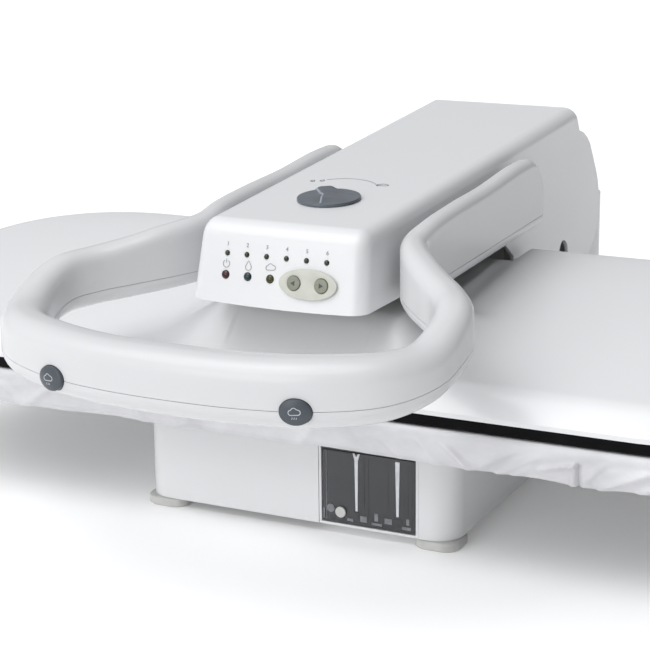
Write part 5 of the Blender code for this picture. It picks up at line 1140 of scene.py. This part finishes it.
def face_bow(x, up):
    """How far the front panel's skin stands forward of its flat at a place."""
    return BOW * max(1 - (x / FRONT_HALF) ** 2, 0) * (1 - clamp(up / 0.0513))


def lens(name, x, up, radius, material, *nodes):
    bow = face_bow(x, up)
    cap = dome(name, radius, radius, -0.0050, 0.0004 + bow, 0.0011 + bow, face_matrix(x, up), 5, 40)
    return complete(cap, "head", material, *nodes)


def lenses():
    for k, x in enumerate(LAMPS):
        nodes = () if k else ("temperature_lenses",)
        lens("scale_lens_%d" % (k + 1), x, LAMP_ROW, LENS_RADIUS, OLIVE_LENS, *nodes)
    for name, x, material in zip(("power", "water", "steam"), STATES, (RED_LENS, TEAL_LENS, YELLOW_LENS)):
        lens("lens_" + name, x, STATE_ROW, LAMP_RADIUS, material, name + "_lamp")


def face_numbers():
    for k, x in enumerate(LAMPS):
        name = "scale_%d" % (k + 1)
        curve = bpy.data.curves.new(name, "FONT")
        curve.body = str(k + 1)
        curve.size = 0.0036
        curve.align_x = "CENTER"
        curve.align_y = "CENTER"
        curve.extrude = 0.00008
        matrix = face_matrix(x, NUMBER_ROW, face_bow(x, NUMBER_ROW) + 0.00006)
        complete(made_mesh(linked(name, curve), matrix), "head", GREY_INK)


def face_marks():
    """Plain signs over the state lamps: on, water and steam."""
    on, water, steam = [face_matrix(x, MARK_ROW, face_bow(x, MARK_ROW) + 0.00012) for x in STATES]
    stroke("mark_on_ring", arc((0, 0), 0.0023, 125, 415, 36), False, on, MARK_WIDE, "head")
    stroke("mark_on_bar", [(0, 0.0004), (0, 0.0030)], False, on, MARK_WIDE, "head")
    stroke("mark_water", drop(0, 0, 0.0033), True, water, MARK_WIDE, "head")
    stroke("mark_steam", cloud(0, 0, 0.0037), True, steam, MARK_WIDE, "head")


def set_pad():
    """The oval pad of the two temperature keys, its keys and their arrows."""
    level = 0.0003 + face_bow(PAD_X, KEY_ROW)
    matrix = face_matrix(PAD_X, KEY_ROW, level + PAD_THICK / 2)
    piece = slab("key_pad", ellipse(PAD_HALF, PAD_TALL, 96), PAD_THICK, matrix)
    carve(piece, *[face_hole("pad_hole", x, KEY_ROW, KEY_HOLE, 48, 0.004) for _, x, _ in KEYS])
    rounded(piece, 0.0003, 3)
    complete(piece, "head", PAD_GREY, "set_pad")
    for name, x, way in KEYS:
        matrix = face_matrix(x, KEY_ROW)
        cap = dome("key_cap_" + name, 0.0044, 0.0044, -0.0040, level + 0.0019, level + 0.0023, matrix, 5, 48)
        complete(cap, "set_key_" + name, KEY_RUBBER, "set_button_" + name)
        arrow = [(way * 0.0018, 0), (-way * 0.0011, 0.0017), (-way * 0.0011, -0.0017)]
        mark = slab("key_arrow_" + name, arrow, 0.0003, matrix @ Matrix.Translation((0, 0, level + 0.0022)))
        complete(mark, "set_key_" + name, DARK_INK)


steam_buttons()
lenses()
face_numbers()
face_marks()
set_pad()


# Steam dial

DIAL_RADIUS, DIAL_TURN = 0.0208, 26.34
# Along the grip: place, then where its crest and the foot of its wall lie across, in shares of the radius
GRIP_LINE = (
    (-1.0, -0.30, -0.33),
    (-0.5, -0.23, -0.28),
    (0.0, -0.17, -0.24),
    (0.35, -0.19, -0.42),
    (0.8, -0.25, -0.52),
    (1.0, -0.28, -0.54),
)
# The dial's rim: share of the radius and height of each row
DIAL_RIM = ((0.985, 0.0), (1.0, 0.0003), (1.0, 0.0012), (0.985, 0.0019))


def grip_line(v):
    """Where the grip's crest and the foot of its wall lie across, at a place along it."""
    for low, high in zip(GRIP_LINE, GRIP_LINE[1:]):
        if v <= high[0]:
            share = soft_step(v, low[0], high[0])
            return between(low[1], high[1], share), between(low[2], high[2], share)
    return GRIP_LINE[-1][1:]


def dial_height(u, v):
    """Height of the dial's top over its underside, u and v in shares of its radius."""
    crest, foot = grip_line(v)
    low = 0.0012 + 0.0007 * (u * u + v * v)
    wall = soft_step(u, foot, crest)
    fall_from = between(crest, 0.05, soft_step(v, 0.2, 0.6))
    fall = 1 - soft_step(u, fall_from, between(0.80, 0.34, soft_step(v, 0.3, 0.8)))
    ends = soft_step(v, -0.98, -0.35) * (1 - soft_step(math.hypot(u, v), 0.90, 0.99))
    return low + 0.0024 * wall * fall * ends


def dial():
    """The dial with its stem, a painted highlight along the crest of its grip, and the scale printed round
    it.
    """
    matrix = top_matrix(0, DIAL_DEPTH, 0.0003) @ Matrix.Rotation(math.radians(DIAL_TURN), 4, "Z")
    rings, turns, rim_rows = 60, 160, len(DIAL_RIM)
    last_row = rings + rim_rows

    def place(u, v):
        row = round(v * last_row)
        turn = math.tau * u
        if row < rim_rows:
            shrink, level = DIAL_RIM[row]
            out = DIAL_RADIUS * shrink
            return matrix @ Vector((out * math.cos(turn), out * math.sin(turn), level))
        shrink = 0.965 * (1 - (row - rim_rows) / rings)
        a, b = shrink * math.cos(turn), shrink * math.sin(turn)
        return matrix @ Vector((DIAL_RADIUS * a, DIAL_RADIUS * b, dial_height(a, b)))

    piece = close_rim(clean(shaped_grid("dial_cap", turns, last_row, place)))
    stem = rod("dial_stem", on_top(0, DIAL_DEPTH, 0.0009), on_top(0, DIAL_DEPTH, -0.007), 0.003)
    carve(piece, stem, operation="UNION")
    complete(piece, "dial", SLATE_ABS, "steam_dial", angle=35)
    # A pale wire sunk along the grip's crest: a painted highlight
    crest = []
    for k in range(41):
        v = between(-0.86, 0.80, k / 40)
        u = sum(grip_line(v)) / 2 + 0.03
        crest.append(matrix @ Vector((DIAL_RADIUS * u, DIAL_RADIUS * v, dial_height(u, v) - 0.0004)))
    complete(wire("dial_crest", crest, 0.0009), "dial", HIGHLIT_SLATE, angle=60)
    scale = top_matrix(0, 0, 0.00012)
    stroke("dial_scale", arc((-0.0065, 0.1090), 0.0247, 136, 27, 48), False, scale, 0.00055, "head")
    for k, way in enumerate((-1, 1)):
        points = drop(-0.0290 + 0.0030 * way, 0.1220 + 0.0012 * way, 0.0022)
        stroke("dial_mark_low_%d" % k, points, True, scale, 0.0006, "head", DARK_INK)
    stroke("dial_mark_high", cloud(0.0180, 0.1240, 0.0042), True, scale, 0.0006, "head", DARK_INK)


dial()


# Water tank

TANK_LEFT, TANK_RIGHT, TANK_FRONT, TANK_REAR = 0.0203, 0.0849, back(0.0239), back(0.138)
TANK_LOW, TANK_TOP, TANK_WALL, LID_LOW, LID_TOP = 0.0085, 0.0568, 0.0020, 0.0571, 0.0587
# Low relief on the tank's front: left, right, foot and top of each, in millimetres
RELIEF_PALE = (
    (23.2, 23.6, 10, 56),
    (20.9, 22.0, 10, 17),
    (38, 42, 10.6, 12.4),
    (47, 51.5, 11.2, 15.2),
    (55, 62, 10.4, 12),
    (57, 59.5, 13.2, 18.4),
    (64, 69, 12.6, 16.2),
    (76, 82, 10.6, 12.6),
    (79, 81, 14, 18),
)
RELIEF_DARK = (
    (52.6, 53.0, 12, 56),
    (49.6, 49.9, 20, 55),
    (66.2, 66.5, 20, 55),
    (80.2, 80.5, 20, 55),
    (82.6, 82.9, 12, 55),
    (27, 36, 11.6, 12.2),
    (42, 46, 13, 17.4),
    (70, 76, 13.2, 16.8),
)
# Outlines of the two sight ribs: one ends in a notched head, the other widens upwards
SLIM_RIB = (
    (-0.0007, 0),
    (0.0007, 0),
    (0.0012, 0.034),
    (0.0024, 0.0385),
    (0.0012, 0.0385),
    (0, 0.0362),
    (-0.0012, 0.0385),
    (-0.0024, 0.0385),
    (-0.0012, 0.034),
)
WIDE_RIB = ((-0.0008, 0), (0.0008, 0), (0.0015, 0.0364), (-0.0015, 0.0364))


def water_tank():
    piece = box("tank_body", (TANK_LEFT, TANK_FRONT, TANK_LOW), (TANK_RIGHT, TANK_REAR, TANK_TOP))
    low = (TANK_LEFT + TANK_WALL, TANK_FRONT + TANK_WALL, TANK_LOW + TANK_WALL)
    high = (TANK_RIGHT - TANK_WALL, TANK_REAR - TANK_WALL, TANK_TOP + 0.01)
    carve(piece, box("tank_hollow", low, high))
    rounded(piece, 0.0006, 3)
    complete(piece, "tank", SMOKE, "water_tank")
    lid = box("tank_lid_plate", (TANK_LEFT, TANK_FRONT, LID_LOW), (TANK_RIGHT, TANK_REAR, LID_TOP))
    filler = (0.0526, back(0.08095))
    carve(lid, rod("lid_hole", (*filler, 0.05), (*filler, 0.07), 0.0093))
    rounded(lid, 0.0005, 2)
    complete(lid, "tank", SMOKE, "tank_lid")


def tank_front():
    for name, x, foot, outline in (("slim", 0.0445, 0.0180, SLIM_RIB), ("wide", 0.0730, 0.0186, WIDE_RIB)):
        place = axes_matrix((x, TANK_FRONT - 0.00015, foot), (1, 0, 0), (0, 0, 1), (0, -1, 0))
        # The sight ribs are real ribs, pale partly as a painted highlight
        complete(slab("sight_rib_" + name, outline, 0.0005, place), "tank", FROSTED_AND_HIGHLIT)
    for name, finish, reliefs in (("text", PALE_SMOKE, RELIEF_PALE), ("smok", SMOKE, RELIEF_DARK)):
        for k, (left, right, foot, top) in enumerate(reliefs):
            low = (left / 1000, TANK_FRONT - 0.00025, foot / 1000)
            high = (right / 1000, TANK_FRONT + 0.0003, top / 1000)
            complete(box("tank_relief_%s_%d" % (name, k), low, high), "tank", finish)
    x, z = 0.0262, 0.0176
    boss = rod("tank_boss", (x, TANK_FRONT - 0.0003, z), (x, TANK_FRONT + 0.0004, z), 0.0027)
    complete(boss, "tank", PALE_SMOKE)


water_tank()
tank_front()


# Finishes of the CAD nodes: each takes the finish of its slot, but for the last four

FINISHES = {
    "white_abs": WHITE_ABS,
    "grey_abs": GREY_ABS,
    "slate_abs": SLATE_ABS,
    "black_nylon": BLACK_NYLON,
    "smoke_tank": SMOKE,
    "silver_cloth": CLOTH,
    "felt": FELT,
    "steel": ZINC_STEEL,
    "spring_steel": SPRING_STEEL,
    "aluminium": CAST_ALUMINIUM,
    "bronze": BRONZE,
    "circuit": CIRCUIT,
    "component": PHENOLIC,
    "silicone": SILICONE,
    "foot_rubber": FOOT_RUBBER,
    "lamp": OLIVE_LENS,
    "red_lamp": RED_LENS,
    "teal_lamp": TEAL_LENS,
    "olive_lamp": YELLOW_LENS,
    "pad_grey": PAD_GREY,
    "key_grey": KEY_RUBBER,
}
for part in frame["record"]["subparts"]:
    wear(NODES[part["node"]], FINISHES[part["material_slot"]])
for shaft in ("hinge_shaft", "handle_shaft"):
    wear(NODES[shaft], GROUND_STEEL)
wear(NODES["platen_neck"], BLACK_NYLON)
wear(NODES["tank_bay"], WHITE_ABS)


# Floor, light and camera

WORLD_BRIGHT = Vector((-0.15, -0.65, 0.74)).normalized()
WORLD_LOW, WORLD_HIGH, WORLD_RIGHT = 0.28, 0.95, 0.12
# The photo's side in pixels, the focal length and the aim's place in it, and the camera's distance in metres
PHOTO, FOCAL, AIM_AT, DISTANCE = 650, 1955.84, (363.16, 323.99), 1.330
AIM = (0, 0.130 + FRONT_Y, 0.110)
SENSOR_MM = 36


def floor():
    choose()
    bpy.ops.mesh.primitive_plane_add(size=60, location=(0, 0, 0))
    piece = named("floor")
    material, _, shader = new_material("pale floor")
    shader.inputs["Base Color"].default_value = linear("#FDFDFD")
    shader.inputs["Roughness"].default_value = 0.9
    shader.inputs["Emission Color"].default_value = (1, 1, 1, 1)
    shader.inputs["Emission Strength"].default_value = 0.12
    piece.data.materials.append(material)


def world():
    """White surroundings, brighter from the front and above, darker on the right, and plain to the camera."""
    made = bpy.data.worlds.new("studio")
    bpy.context.scene.world = made
    made.use_nodes = True
    tree = made.node_tree
    tree.nodes.clear()
    path = add(tree, "ShaderNodeLightPath").outputs
    straight = {0: path["Is Camera Ray"], 1: path["Is Transmission Ray"]}
    seen = add(tree, "ShaderNodeMath", straight, operation="MAXIMUM")
    way = add(tree, "ShaderNodeTexCoord").outputs["Generated"]
    toward = add(tree, "ShaderNodeVectorMath", {0: way, 1: WORLD_BRIGHT}, operation="DOT_PRODUCT")
    bright = ranged(tree, toward.outputs["Value"], -0.6, 0.9, WORLD_LOW, WORLD_HIGH)
    beside = add(tree, "ShaderNodeVectorMath", {0: way, 1: (1, 0, 0)}, operation="DOT_PRODUCT")
    dark = ranged(tree, beside.outputs["Value"], 0.1, 0.8, 1.0, WORLD_RIGHT)
    level = add(tree, "ShaderNodeMath", {0: bright, 1: dark}, operation="MULTIPLY")
    soft = add(tree, "ShaderNodeBackground", {"Color": linear("#F7F8FB"), "Strength": level.outputs[0]})
    plain = add(tree, "ShaderNodeBackground", {"Color": (1, 1, 1, 1), "Strength": 1.0})
    mixed = {"Fac": seen.outputs[0], 1: soft.outputs[0], 2: plain.outputs[0]}
    mix = add(tree, "ShaderNodeMixShader", mixed)
    add(tree, "ShaderNodeOutputWorld", {"Surface": mix.outputs[0]})


def way_from(turn, rise):
    """Direction from the press to a place turned to the right of its front and raised, in radians."""
    return Vector((math.sin(turn) * math.cos(rise), -math.cos(turn) * math.cos(rise), math.sin(rise)))


def sun(turn, rise, strength, softness):
    """Even light from one side, turn and rise in degrees as for the camera."""
    choose()
    bpy.ops.object.light_add(type="SUN", location=(0, 0, 3))
    made = bpy.context.object
    made.data.energy = strength
    made.data.angle = math.radians(softness)
    source = way_from(math.radians(turn), math.radians(rise))
    made.rotation_euler = source.to_track_quat("Z", "Y").to_euler()


def lamp(name, place, target, size, power):
    choose()
    bpy.ops.object.light_add(type="AREA", location=place)
    made = bpy.context.object
    made.name = name
    made.data.size = size
    made.data.energy = power
    made.rotation_euler = (Vector(target) - Vector(place)).to_track_quat("-Z", "Y").to_euler()


def camera():
    turn, rise, roll = math.radians(26.34), math.radians(15.27), math.radians(-0.69)
    right = Vector((math.cos(turn), math.sin(turn), 0))
    away = way_from(turn, rise)
    up = away.cross(right)
    across_it = right * math.cos(roll) + up * math.sin(roll)
    upward = up * math.cos(roll) - right * math.sin(roll)
    place = Vector(AIM) + away * DISTANCE
    place -= across_it * ((AIM_AT[0] - PHOTO / 2) / FOCAL * DISTANCE)
    place += upward * ((AIM_AT[1] - PHOTO / 2) / FOCAL * DISTANCE)
    made = linked("camera", bpy.data.cameras.new("camera"))
    made.matrix_world = axes_matrix(place, across_it, upward, away)
    made.data.sensor_width = SENSOR_MM
    made.data.lens = FOCAL / PHOTO * SENSOR_MM
    bpy.context.scene.camera = made


floor()
world()
sun(-28, 62, 1.30, 55)
sun(-14, 16, 0.34, 30)
lamp("highlight", (-0.5, -1.0, 1.9), (0, -0.1, 0.15), 0.5, 1.6)
camera()
bpy.context.scene.view_settings.view_transform = "Standard"
